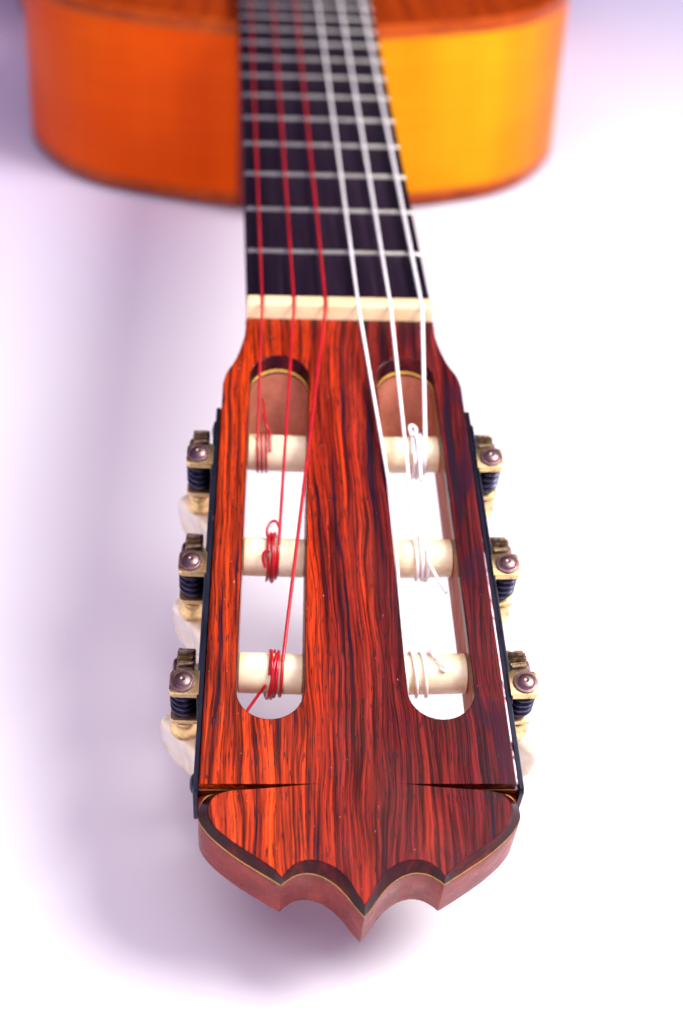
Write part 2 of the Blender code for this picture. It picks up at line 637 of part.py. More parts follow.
def build_strings():
    """Six strings, each from the top of its roller over nut and saddle into the tie block."""
    colours = ("red_nylon", "red_nylon", "red_nylon", "white_wound", "white_wound", "white_wound")
    tie_z = BRIDGE_BASE + TIE_HOLE_HEIGHT
    clear = 0.8
    for i, (radius, colour) in enumerate(zip(STRING_RADII, colours)):
        roller_s = EDGE_START[1] + ROLLER_E[STRING_ROLLERS[i]]
        depth = ROLLER_DEPTH - ROLLER_RADIUS - GAP - radius
        roller = head_frame.matrix_world @ (Vector((ROLLER_X[i], -roller_s, -depth)) * MM)
        nut_x, saddle_x = string_nut_x(i), string_saddle_x(i)
        path = [
            (nut_x, FACE_Y - clear, STRING_NUT_Z), (nut_x, NUT_Y + clear, STRING_NUT_Z),
            (saddle_x, SADDLE_Y, STRING_SADDLE_Z), (saddle_x, SADDLE_Y + 1.9, STRING_SADDLE_Z),
            (saddle_x, TIE_START - clear, tie_z), (saddle_x, TIE_END + 0.5, tie_z),
        ]
        points = [roller] + [Vector(point) * MM for point in path]
        add_piece(f"string_{i + 1}", wire_mesh(points, radius), colour)


def wire_mesh(points, radius):
    curve = bpy.data.curves.new("wire", "CURVE")
    curve.dimensions = "3D"
    curve.bevel_depth = radius * MM
    curve.bevel_resolution = 1
    curve.use_fill_caps = True
    spline = curve.splines.new("POLY")
    spline.points.add(len(points) - 1)
    for target, point in zip(spline.points, points):
        target.co = (*point, 1)
    guide = bpy.data.objects.new("wire", curve)
    cutters.objects.link(guide)
    bpy.context.view_layer.update()
    graph = bpy.context.evaluated_depsgraph_get()
    mesh = bpy.data.meshes.new_from_object(guide.evaluated_get(graph))
    bpy.data.objects.remove(guide)
    shape = bmesh.new()
    shape.from_mesh(mesh)
    bmesh.ops.remove_doubles(shape, verts=shape.verts, dist=1e-6)
    return mesh_of(shape)


def rounded_bar(low, high, radius, count=5):
    """A rectangle in the plane with round corners."""
    corners = ((high[0], high[1]), (low[0], high[1]), (low[0], low[1]), (high[0], low[1]))
    points = []
    for i, (x, y) in enumerate(corners):
        inner = (x - math.copysign(radius, x - (low[0] + high[0]) / 2),
                 y - math.copysign(radius, y - (low[1] + high[1]) / 2))
        for j in range(count):
            angle = math.pi / 2 * (i + j / (count - 1))
            points.append((inner[0] + radius * math.cos(angle), inner[1] + radius * math.sin(angle)))
    return points


def build_machine_plate(side, sign, frame):
    """One plate for three machines, with a pair of lugs for each worm."""
    plate_low, plate_high = GAP, GAP + MACHINE_PLATE
    outline = rounded_bar((-MACHINE_END, -MACHINE_LOW), (-MACHINE_START, -MACHINE_HIGH), MACHINE_CORNER, 4)
    low, high = sorted((sign * plate_low, sign * plate_high))
    mesh = flat_mesh([outline], low, high, ALONG_X)
    plate = add_piece(f"{side}_machine_plate", mesh, "brass", frame)
    holes = bmesh.new()
    for label, (top, bottom), radius in (("upper", UPPER_LUG, 1.4), ("lower", LOWER_LUG, 2.0)):
        outlines = []
        for e in ROLLER_E:
            worm_e = e + WORM_OFFSET
            half = LUG_LENGTH / 2
            near, far = sorted((sign * (plate_high - 0.4), sign * LUG_REACH))
            outlines.append(rounded_bar((near, -worm_e - half), (far, -worm_e + half), 1.2, 2))
            centre = (sign * GEAR_U, -worm_e, -(top + bottom) / 2)
            add_rod(holes, centre, (0, 0, 1), radius + GAP, bottom - top + 1, 10)
        lugs = flat_mesh(outlines, -bottom, -top)
        use_boolean(plate, "UNION", f"{side}_{label}_lugs", lugs, frame)
    for e in ROLLER_E:
        centre = (sign * (plate_low + plate_high) / 2, -e, -ROLLER_DEPTH)
        add_rod(holes, centre, (1, 0, 0), AXLE_RADIUS + GAP, MACHINE_PLATE + 1, 10)
    use_boolean(plate, "DIFFERENCE", f"{side}_machine_holes", mesh_of(holes), frame)


def gear_mesh():
    """Straight teeth round Z, one tooth pointing along +X; narrow enough to run in the worm."""
    root, tip = 0.62, 0.26
    tooth = ((GEAR_ROOT, -root), (GEAR_OUTER, -tip), (GEAR_OUTER, tip), (GEAR_ROOT, root))
    points = []
    for i in range(GEAR_TEETH):
        for radius, half in tooth:
            angle = 2 * math.pi * i / GEAR_TEETH + half / radius
            points.append((radius * math.cos(angle), radius * math.sin(angle)))
    bore = circle((0, 0), AXLE_RADIUS + GAP, 10)
    return flat_mesh([points, bore], -GEAR_WIDTH / 2, GEAR_WIDTH / 2)


def worm_radius(angle, depth, hand):
    """A single rounded thread; its groove meets the gear at the roller's depth."""
    rise = (ROLLER_DEPTH - depth) / WORM_PITCH
    phase = rise - hand * (angle / (2 * math.pi) - 0.25)
    wave = (1 - math.cos(2 * math.pi * phase)) / 2
    return WORM_ROOT + (WORM_OUTER - WORM_ROOT) * wave ** 1.6


def worm_shaft_mesh(hand):
    """From the rivet head down through the lugs to the ferrule and the tang inside the button."""
    count, steps = 8, 22
    thread_start, thread_end = UPPER_LUG[1] + GAP, LOWER_LUG[0] - GAP
    head = UPPER_LUG[0] - GAP
    above = [
        (0.9, head - 0.9), (2.2, head - 0.7), (2.8, head - 0.3), (2.8, head), (1.4, head),
        (1.4, thread_start),
    ]
    waist = (LOWER_LUG[1] + GAP, COLLAR_START + 1.4)
    below = [
        (2.0, thread_end), (2.0, waist[0]), (3.2, waist[0]), (3.2, waist[1]), (2.3, waist[1] + 1.4),
        (2.3, 19.0), (3.4, 20.4), (3.4, BUTTON_START - GAP), (1.2, BUTTON_START - GAP), (1.2, 33.0),
    ]
    threads = np.linspace(thread_start, thread_end, steps)
    rows = [[(radius, depth)] * count for radius, depth in above]
    angles = [2 * math.pi * i / count for i in range(count)]
    rows += [[(worm_radius(a, depth, hand), depth) for a in angles] for depth in threads]
    rows += [[(radius, depth)] * count for radius, depth in below]
    rings = [
        [(r * math.cos(a), r * math.sin(a), -depth) for a, (r, depth) in zip(angles, row)]
        for row in rows
    ]
    return loft_mesh(rings)


def button_mesh(turn):
    """A flat oval grip, bored from above for the shaft's tang."""
    length = BUTTON_END - BUTTON_START
    shape = bmesh.new()
    bmesh.ops.create_uvsphere(shape, u_segments=14, v_segments=8, radius=1.0)
    half = Vector((BUTTON_HALF_WIDTH, BUTTON_HALF_THICKNESS, length / 2)) * MM
    bmesh.ops.scale(shape, vec=half, verts=shape.verts)
    bmesh.ops.rotate(shape, matrix=Matrix.Rotation(turn, 3, "Z"), verts=shape.verts)
    bmesh.ops.translate(shape, vec=(0, 0, -(BUTTON_START + length / 2) * MM), verts=shape.verts)
    return mesh_of(shape)


def build_machine(side, sign, number, frame):
    e = ROLLER_E[number - 1]
    axle = (0, -e, -ROLLER_DEPTH)
    gear_low, gear_high = GEAR_U - GEAR_WIDTH / 2, GEAR_U + GEAR_WIDTH / 2
    slot_in, slot_out = -RAIL - SLOT_WIDTH + GAP, -RAIL - GAP
    profile = [
        (0, gear_high + 1.5), (0.7 * AXLE_HEAD_RADIUS, gear_high + 1.5),
        (AXLE_HEAD_RADIUS, gear_high + 0.9), (AXLE_HEAD_RADIUS, gear_high + GAP),
        (AXLE_RADIUS, gear_high + GAP), (AXLE_RADIUS, -GAP), (JOURNAL_RADIUS, -GAP),
        (JOURNAL_RADIUS, slot_out), (ROLLER_RADIUS, slot_out), (ROLLER_RADIUS, slot_in),
        (JOURNAL_RADIUS, slot_in), (JOURNAL_RADIUS, ROLLER_INNER), (0, ROLLER_INNER),
    ]
    outward = Matrix.Rotation(sign * math.pi / 2, 4, "Y")
    roller = turned_mesh(profile)
    roller.transform(outward)
    add_piece(f"{side}_roller_{number}", roller, "pearl", frame, axle)
    gear = gear_mesh()
    face_worm = Matrix(((0, 0, 1, 0), (-1, 0, 0, 0), (0, -1, 0, 0), (0, 0, 0, 1)))
    gear.transform(Matrix.Translation((sign * GEAR_U * MM, 0, 0)) @ face_worm)
    add_piece(f"{side}_gear_{number}", gear, "brass", frame, axle)
    worm_place = (sign * GEAR_U, -e - WORM_OFFSET, 0)
    shaft = worm_shaft_mesh(sign)
    add_piece(f"{side}_worm_shaft_{number}", shaft, "black_metal", frame, worm_place)
    turn = math.radians(BUTTON_TURNS[side][number - 1])
    button = add_piece(f"{side}_button_{number}", button_mesh(turn), "pearl", frame, worm_place)
    bore = bmesh.new()
    add_rod(bore, (0, 0, -(BUTTON_START + 4)), (0, 0, 1), 1.2 + GAP, 13.0 + 2 * GAP, 8)
    use_boolean(button, "DIFFERENCE", f"{side}_tang_bore_{number}", mesh_of(bore), frame, worm_place)


def add_frame(name, place, turn, parent=None):
    frame = bpy.data.objects.new(name, None)
    guitar.objects.link(frame)
    frame.parent = parent
    frame.location = Vector(place) * MM
    frame.rotation_euler = turn
    return frame


for old in list(bpy.data.objects):
    bpy.data.objects.remove(old)
guitar = collection_named("classical_guitar")
cutters = collection_named("cutters")
head_frame = add_frame("head_frame", (0, FACE_Y, FACE_Z), (HEAD_TILT, 0, 0))
bpy.context.view_layer.update()

build_soundboard()
build_back()
build_shell_strips()
build_tail_block()
build_braces()
build_fingerboard()
build_neck()
build_head_layers()
build_nut()
build_bridge()
build_strings()
for side, sign in SIDES.items():
    edge = (sign * EDGE_START[0], -EDGE_START[1], 0)
    side_frame = add_frame(f"{side}_side_frame", edge, (0, 0, sign * EDGE_ANGLE), head_frame)
    build_machine_plate(side, sign, side_frame)
    for number in (1, 2, 3):
        build_machine(side, sign, number, side_frame)
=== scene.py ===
"""The looks of the classical guitar: smooth wood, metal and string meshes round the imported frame.

Shapes are in millimetres until a mesh is made. The headstock and its tuning machines are shaped in their own
frames: on the headstock s runs from the nut to the tip and d down from the face; at a machine u runs outward
from the headstock's edge, e along the edge to the tip, and d down from the face.
"""

import json
import math

import bmesh
import bpy
import numpy as np
from mathutils import Matrix, Vector
from mathutils.geometry import tessellate_polygon


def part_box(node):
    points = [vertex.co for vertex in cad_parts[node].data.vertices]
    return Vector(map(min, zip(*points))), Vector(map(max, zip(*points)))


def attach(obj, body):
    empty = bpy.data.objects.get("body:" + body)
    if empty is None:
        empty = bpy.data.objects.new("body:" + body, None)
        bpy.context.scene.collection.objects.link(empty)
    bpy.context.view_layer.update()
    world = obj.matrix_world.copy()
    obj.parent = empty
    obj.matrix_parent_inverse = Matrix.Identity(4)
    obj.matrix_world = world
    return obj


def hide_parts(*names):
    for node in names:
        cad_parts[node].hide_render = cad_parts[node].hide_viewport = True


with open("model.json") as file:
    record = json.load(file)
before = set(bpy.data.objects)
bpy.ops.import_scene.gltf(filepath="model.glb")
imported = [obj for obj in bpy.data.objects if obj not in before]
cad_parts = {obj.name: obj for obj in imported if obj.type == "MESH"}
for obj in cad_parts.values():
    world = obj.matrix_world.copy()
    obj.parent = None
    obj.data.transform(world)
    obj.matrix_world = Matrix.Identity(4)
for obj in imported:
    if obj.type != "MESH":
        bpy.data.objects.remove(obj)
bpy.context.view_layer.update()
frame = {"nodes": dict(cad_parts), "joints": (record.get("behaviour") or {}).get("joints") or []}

MM = 0.001
ROOT = "guitar"
SIDES = {"treble": -1, "bass": 1}
NUMBERS = (1, 2, 3)
JOINTS = {joint["name"]: joint for joint in frame["joints"]}


def box_mm(node):
    low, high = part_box(node)
    return low / MM, high / MM


# Places and sizes read from the frame
NUT_LOW, NUT_HIGH = box_mm("nut")
TOP_LOW, TOP_HIGH = box_mm("top_binding")
ROSETTE_LOW, ROSETTE_HIGH = box_mm("rosette")
BRIDGE_LOW, BRIDGE_HIGH = box_mm("bridge")
SADDLE_LOW, SADDLE_HIGH = box_mm("saddle")
BODY_START, BODY_END = TOP_LOW.y, TOP_HIGH.y
BODY_LENGTH = BODY_END - BODY_START
RIM_LOW, RIM_HIGH = box_mm("back_binding")[0].z, TOP_HIGH.z
BOARD_TOP = box_mm("fingerboard")[1].z
FACE_Y, NUT_Y = NUT_LOW.y, NUT_HIGH.y
SCALE_LENGTH = 2 * (BODY_START - NUT_Y)
FACE_Z = NUT_HIGH.z - 5.0
HOLE_Y = (ROSETTE_LOW.y + ROSETTE_HIGH.y) / 2
SADDLE_Y = (SADDLE_LOW.y + SADDLE_HIGH.y) / 2
BRIDGE_BASE = RIM_HIGH + 0.02
WORM_AXIS = Vector(JOINTS["bass_button_turn_1"]["axis"]).normalized()
TILT = math.atan2(-WORM_AXIS.y, WORM_AXIS.z)
HEAD = Matrix.Translation(Vector((0, FACE_Y, FACE_Z)) * MM) @ Matrix.Rotation(TILT, 4, "X")

# Body
BINDING, BINDING_HEIGHT = 2.2, 6.0
TOP_THICKNESS = 2.5
SIDE_CURVE = (
    (35.0, 0.0), (52.0, 5.5), (75.0, 14.0), (101.0, 27.0), (121.0, 47.0), (137.0, 76.0),
    (143.5, 103.0), (140.5, 132.0), (130.0, 163.0), (120.5, 190.0), (118.0, 212.0),
    (124.0, 240.0), (141.0, 271.0), (161.0, 302.0), (175.5, 334.0), (182.5, 369.0),
    (180.0, 402.0), (166.0, 433.0), (143.0, 457.0), (111.0, 474.0), (73.0, 483.0),
    (36.0, 486.3), (0.0, BODY_LENGTH),
)
BACK_THICKNESS, SIDE_THICKNESS, PURFLING = 2.5, 2.0, 0.7
HOLE_RADIUS = 42.5
ROSETTE_INNER, ROSETTE_OUTER, ROSETTE_DIAMONDS = 46.0, 60.0, 96
FRETS, BOARD_PAST_FRETS = 19, 3.4
NECK_HALF = 31.0
# Neck sections as (distance from the nut, half width, depth)
NECK_SECTIONS = (
    (-4.0, 26.4, 12.9), (0.0, 26.4, 13.6), (12.0, 26.3, 14.0), (60.0, 27.0, 14.6),
    (230.0, 29.6, 15.6), (290.0, 30.5, 17.0), (330.0, 30.9, 19.0),
)
# Heel sections as (height, half width, reach toward the nut)
HEEL_SECTIONS = (
    (88.0, 30.8, 84.0), (82.0, 30.4, 72.0), (76.0, 29.2, 55.0), (68.0, 27.4, 38.0),
    (56.0, 24.0, 27.5), (40.0, 20.4, 22.5), (22.0, 17.2, 20.4), (RIM_LOW + 0.5, 16.0, 21.0),
)

# Headstock: a straight-sided body and, beyond a cut across it, a scalloped crown
HEAD_THICKNESS = 17.5
PLATE, ACCENT_LOW, DARK_LOW, CROWN_LOW_DEPTH = 2.75, 3.3, 3.75, 5.5
FLARE = ((26.9, 0.2), (27.3, 7.0), (29.5, 15.5), (32.1, 21.0), (33.0, 25.0))
CUT_S = 147.3
EDGE_START, EDGE_END = (33.0, 25.0), (36.57, CUT_S)
EDGE_ANGLE = math.atan2(EDGE_END[0] - EDGE_START[0], EDGE_END[1] - EDGE_START[1])
EDGE_AT_NUT = EDGE_START[0] - EDGE_START[1] * math.tan(EDGE_ANGLE)
SHOULDER_TOP = (
    (9.0, CUT_S), (12.0, 147.5), (15.9, 147.9), (20.4, 148.35), (27.2, 148.9), (30.4, 149.3),
    (32.7, 150.3), (34.0, 151.9), (34.4, 153.9), (34.0, 155.8), (32.9, 157.8), (30.4, 160.3),
    (26.4, 163.3), (22.6, 165.9), (19.8, 168.0), (18.0, 170.0),
)
SHOULDER_MIDDLE = (
    (9.0, CUT_S), (12.0, 147.35), (15.5, 147.5), (20.2, 147.7), (27.5, 147.8), (31.8, 148.1),
    (34.3, 149.0), (35.8, 150.6), (36.5, 152.6), (36.5, 154.6), (35.4, 156.8), (32.8, 159.9),
    (28.2, 163.8), (23.2, 167.2), (20.4, 169.0), (18.0, 170.6),
)
SHOULDER_LOW = (
    (9.0, CUT_S), (12.0, CUT_S), (15.0, CUT_S), (20.0, CUT_S), (27.0, CUT_S), (32.5, CUT_S),
    (36.57, 147.5), (36.6, 149.6), (36.6, 152.2), (36.55, 154.6), (35.5, 157.0), (32.9, 160.1),
    (28.3, 164.0), (23.3, 167.4), (20.5, 169.2), (18.0, 170.7),
)
SCALLOP_TOP = (
    (18.0, 170.0), (17.0, 168.7), (14.8, 166.7), (11.7, 165.95), (8.4, 166.6), (5.3, 168.5),
    (3.0, 171.2), (1.5, 174.0), (0.0, 176.6),
)
SCALLOP_LOW = (
    (18.0, 170.6), (16.9, 169.6), (14.6, 168.2), (11.8, 167.8), (8.9, 168.6), (6.1, 170.5),
    (3.8, 173.0), (1.9, 175.7), (0.0, 178.0),
)
RAIL, SLOT_WIDTH = 7.5, 16.0
SLOT_NUT_END, SLOT_NUT_END_LOW, SLOT_TIP_END = 14.2, 30.0, 130.0

# Tuning machines
ROLLER_RADIUS, ROLLER_DEPTH = 5.0, 8.3
FIRST_ROLLER_S, ROLLER_SPACING = EDGE_START[1] + 17.6, 35.0
GEAR_U, GEAR_TEETH, PITCH_RADIUS = 5.2, 14, 5.1
WORM_OFFSET = 8.0
WORM_PITCH = 2 * math.pi * PITCH_RADIUS / GEAR_TEETH
BUTTON_TURNS = {"treble": (-48.0, -52.0, -45.0), "bass": (78.0, 80.0, -35.0)}
PLATE_START, PLATE_END = 7.8, 124.0

# Light
SKY, SKY_BEHIND = (0.27, 0.20, 0.46), (0.02, 0.012, 0.03)
FLOOR_DARK, FLOOR_PALE = (0.66, 0.63, 0.67), (0.71, 0.69, 0.72)
# Painted shade: the floor turns lavender and darker further back and towards the left, in place of the body's
# shadow and the light's fall-off
FLOOR_MIDDLE_PAINTED_SHADE, FLOOR_FAR_PAINTED_SHADE = (0.76, 0.73, 0.90), (0.46, 0.36, 0.56)
KEY_POWER, FRONT_POWER, FILL_POWER = 38.0, 12.0, 22.0

# Strings, from the treble side to the bass side
STRING_RADII = (0.38, 0.42, 0.46, 0.46, 0.50, 0.56)
NUT_X = (-22.3, -13.3, -4.3, 5.0, 14.2, 23.2)
ROLLER_X = (-23.4, -17.9, -17.2, 12.5, 17.3, 22.0)
STRING_ROLLERS = (1, 2, 3, 3, 2, 1)
STRING_FINISH = {"treble": "red_string", "bass": "white_string"}
SADDLE_SPREAD = 11.6
# Where the innermost bass string bends round the edge of its slot, as (x, s, d)
SLOT_BEND = (11.45, 66.0, -0.3)


# ---------------------------------------------------------------- shapes

def smooth_through(points, steps=6):
    """A Catmull-Rom curve through the points, ends included."""
    points = [np.array(point, float) for point in points]
    padded = [2 * points[0] - points[1], *points, 2 * points[-1] - points[-2]]
    found = []
    for a, b, c, d in zip(padded, padded[1:], padded[2:], padded[3:]):
        for t in np.arange(steps) / steps:
            cubic = (3 * b - a - 3 * c + d) * t**3 + (2 * a - 5 * b + 4 * c - d) * t**2
            found.append(b + ((c - a) * t + cubic) / 2)
    found.append(points[-1])
    return [tuple(point) for point in found]


def mirrored_round(half):
    """The half outline at +X followed by its mirror image, leaving out points shared at X = 0."""
    return list(half) + [(-x, y) for x, y in reversed(half) if x > 1e-6]


def circle(centre, radius, count=48):
    turns = [2 * math.pi * i / count for i in range(count)]
    return [(centre[0] + radius * math.cos(t), centre[1] + radius * math.sin(t)) for t in turns]


def lerp_loops(a, b, t):
    return [tuple(np.array(p) * (1 - t) + np.array(q) * t) for p, q in zip(a, b)]


def at_height(loop, z):
    return [(x, y, z) for x, y in loop]


def join_rings(shape, rings, slot=0, around=True):
    """Walls between rings that hold equal numbers of points."""
    rows = [[shape.verts.new(point) for point in ring] for ring in rings]
    for row, following in zip(rows, rows[1:]):
        for i in range(len(row) if around else len(row) - 1):
            j = (i + 1) % len(row)
            shape.faces.new((row[i], row[j], following[j], following[i])).material_index = slot
    return rows


def loft(shape, rings, slot=0):
    """A closed solid through rings, with flat ends."""
    rows = join_rings(shape, rings, slot)
    for row in (rows[0], rows[-1]):
        shape.faces.new(row).material_index = slot


def stack(shape, levels, wall_slots=(0, 0)):
    """A solid through levels of (outer loop, hole loops), capped at both ends round the holes."""
    outer = join_rings(shape, [level[0] for level in levels], wall_slots[0])
    holes = [
        join_rings(shape, [level[1][i] for level in levels], wall_slots[1])
        for i in range(len(levels[0][1]))
    ]
    for end in (0, -1):
        loops = [outer[end], *(hole[end] for hole in holes)]
        corners = [corner for loop in loops for corner in loop]
        flat = [[(*corner.co.xy, 0.0) for corner in loop] for loop in loops]
        for triangle in tessellate_polygon(flat):
            if len(set(triangle)) == 3:
                shape.faces.new([corners[i] for i in triangle])


def lathe(shape, profile, sides=32, slot=0):
    """A closed turned solid from (radius, height) pairs; the first and last radii may be zero."""
    angles = [2 * math.pi * i / sides for i in range(sides)]
    rings = [
        [(max(r, 0.01) * math.cos(a), max(r, 0.01) * math.sin(a), z) for a in angles]
        for r, z in profile
    ]
    loft(shape, rings, slot)


def tube(shape, points, radius, sides=10, slot=0):
    """A round wire along a path, with each ring turned as little as possible from the one before."""
    points = [Vector(point) for point in points]
    radii = radius if isinstance(radius, (list, tuple)) else [radius] * len(points)
    ahead = [(b - a).normalized() for a, b in zip(points, points[1:])]
    tangents = [ahead[0], *((a + b).normalized() for a, b in zip(ahead, ahead[1:])), ahead[-1]]
    side = tangents[0].orthogonal().normalized()
    rings = []
    for point, tangent, size in zip(points, tangents, radii):
        side = (side - tangent * side.dot(tangent)).normalized()
        other = tangent.cross(side)
        angles = [2 * math.pi * i / sides for i in range(sides)]
        rings.append([point + size * (math.cos(a) * side + math.sin(a) * other) for a in angles])
    loft(shape, rings, slot)


def box_solid(shape, low, high, bevel=0.3, slot=0):
    """A box with its four upright edges and its top and bottom rims rounded off."""
    middle = [(a + b) / 2 for a, b in zip(low, high)]
    half = [(b - a) / 2 for a, b in zip(low, high)]

    def ring(inset, z):
        loop = rounded_bar((-half[0] + inset, -half[1] + inset), (half[0] - inset, half[1] - inset), bevel)
        return [(middle[0] + x, middle[1] + y, z) for x, y in loop]

    loft(shape, [
        ring(bevel, low[2]), ring(bevel * 0.3, low[2] + bevel * 0.3), ring(0, low[2] + bevel),
        ring(0, high[2] - bevel), ring(bevel * 0.3, high[2] - bevel * 0.3), ring(bevel, high[2]),
    ], slot)


def rounded_bar(low, high, radius, count=5):
    """A rectangle in the plane with round corners."""
    corners = ((high[0], high[1]), (low[0], high[1]), (low[0], low[1]), (high[0], low[1]))
    middle = ((low[0] + high[0]) / 2, (low[1] + high[1]) / 2)
    points = []
    for i, (x, y) in enumerate(corners):
        inner_x = x - math.copysign(radius, x - middle[0])
        inner_y = y - math.copysign(radius, y - middle[1])
        for j in range(count):
            angle = math.pi / 2 * (i + j / (count - 1))
            points.append((inner_x + radius * math.cos(angle), inner_y + radius * math.sin(angle)))
    return points


def add_piece(name, shape, finishes, body=ROOT, place=None, replaces=None, sharp=35):
    """Makes the shape an object that rides on a body, in the material slot of its first finish."""
    finishes = [finishes] if isinstance(finishes, str) else finishes
    bmesh.ops.recalc_face_normals(shape, faces=shape.faces)
    mesh = bpy.data.meshes.new(name)
    shape.to_mesh(mesh)
    shape.free()
    mesh.transform(Matrix.Scale(MM, 4))
    for finish in finishes:
        mesh.materials.append(MATERIALS[finish])
    mesh.shade_smooth()
    mesh.set_sharp_from_angle(angle=math.radians(sharp))
    piece = bpy.data.objects.new(name, mesh)
    bpy.context.scene.collection.objects.link(piece)
    if place is not None:
        piece.matrix_world = place
    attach(piece, body)
    if replaces:
        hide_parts(replaces)


# ---------------------------------------------------------------- materials

class Paint:
    """A node material with short calls for the nodes that the finishes share."""

    def __init__(self, name, roughness=0.4, metallic=0.0, coat=0.0, shine=0.5):
        self.material = bpy.data.materials.new(name)
        self.material.use_nodes = True
        self.tree = self.material.node_tree
        self.shader = self.tree.nodes["Principled BSDF"]
        self.set(roughness=roughness, metallic=metallic, specular_ior_level=shine)
        self.set(coat_weight=coat, coat_roughness=0.06)

    def set(self, **values):
        for name, value in values.items():
            socket = self.shader.inputs[name.replace("_", " ").title().replace("Ior", "IOR")]
            if isinstance(value, bpy.types.NodeSocket):
                self.tree.links.new(value, socket)
            else:
                socket.default_value = value

    def node(self, kind, links=None, **properties):
        made = self.tree.nodes.new(kind)
        for name, value in properties.items():
            setattr(made, name, value)
        for socket, value in (links or {}).items():
            if isinstance(value, bpy.types.NodeSocket):
                self.tree.links.new(value, made.inputs[socket])
            else:
                made.inputs[socket].default_value = value
        return made

    def axis(self, name):
        source = self.node("ShaderNodeTexCoord").outputs["Object"]
        return self.node("ShaderNodeSeparateXYZ", {"Vector": source}).outputs[name]

    def noise(self, scale, detail=4.0, roughness=0.55, distortion=0.0, shift=(0, 0, 0), source=None):
        """Noise with a scale for each axis, in the piece's own frame or over another source."""
        if source is None:
            source = self.node("ShaderNodeTexCoord").outputs["Object"]
        links = {"Vector": source, "Scale": scale, "Location": shift}
        vector = self.node("ShaderNodeMapping", links).outputs["Vector"]
        links = {
            "Vector": vector, "Scale": 1.0, "Detail": detail,
            "Roughness": roughness, "Distortion": distortion,
        }
        return self.node("ShaderNodeTexNoise", links).outputs["Fac"]

    def ramp(self, value, stops):
        """Colours or greys at positions from 0 to 1."""
        made = self.node("ShaderNodeValToRGB", {"Fac": value})
        elements = made.color_ramp.elements
        while len(elements) < len(stops):
            elements.new(0.5)
        for element, (position, colour) in zip(elements, stops):
            element.position = position
            grey = (colour,) * 3 if isinstance(colour, (int, float)) else colour
            element.color = (*grey, 1.0)
        return made.outputs["Color"]

    def mix(self, share, a, b, blend="MIX"):
        made = self.node("ShaderNodeMix", data_type="RGBA", blend_type=blend)
        for socket, value in ((0, share), (6, a), (7, b)):
            if isinstance(value, bpy.types.NodeSocket):
                self.tree.links.new(value, made.inputs[socket])
            elif socket == 0:
                made.inputs[0].default_value = value
            else:
                made.inputs[socket].default_value = (*value, 1.0)
        return made.outputs[2]

    def shade(self, colour, value, stops, share):
        """The colour multiplied by a ramp of greys or colours."""
        return self.mix(share, colour, self.ramp(value, stops), "MULTIPLY")

    def math(self, operation, a, b=0.0, c=0.0):
        return self.node("ShaderNodeMath", {0: a, 1: b, 2: c}, operation=operation).outputs[0]

    def bump(self, height, strength, distance=0.0002):
        links = {"Height": height, "Strength": strength, "Distance": distance}
        self.set(normal=self.node("ShaderNodeBump", links).outputs["Normal"])


def streaked_wood(name, colours, grain, coat, roughness, pores, shine):
    """Wood with bands, fine fibre and pores that run along the piece's own Y axis."""
    paint = Paint(name, roughness, coat=coat, shine=shine)

    def along(across, ratio):
        return (across, across / ratio, across)

    bands = paint.noise(along(grain, 16), 5, 0.6, 0.6)
    stops = [(0.25 + 0.5 * i / (len(colours) - 1), c) for i, c in enumerate(colours)]
    colour = paint.ramp(bands, stops)
    fibre = paint.noise(along(grain * 9, 40), 3, 0.6)
    colour = paint.shade(colour, fibre, [(0.3, 0.55), (0.7, 1.0)], 0.55)
    pits = paint.noise(along(grain * 14, 18), 2, 0.5)
    pit_share = paint.ramp(pits, [(0.62, 0.0), (0.68, pores)])
    colour = paint.mix(pit_share, colour, tuple(0.25 * c for c in colours[0]))
    paint.set(base_color=colour)
    spread = paint.noise(along(grain * 2, 3), 3)
    paint.set(roughness=paint.ramp(spread, [(0.3, roughness * 0.8), (0.7, roughness * 1.3)]))
    paint.bump(paint.math("SUBTRACT", fibre, pit_share), 0.12)
    return paint


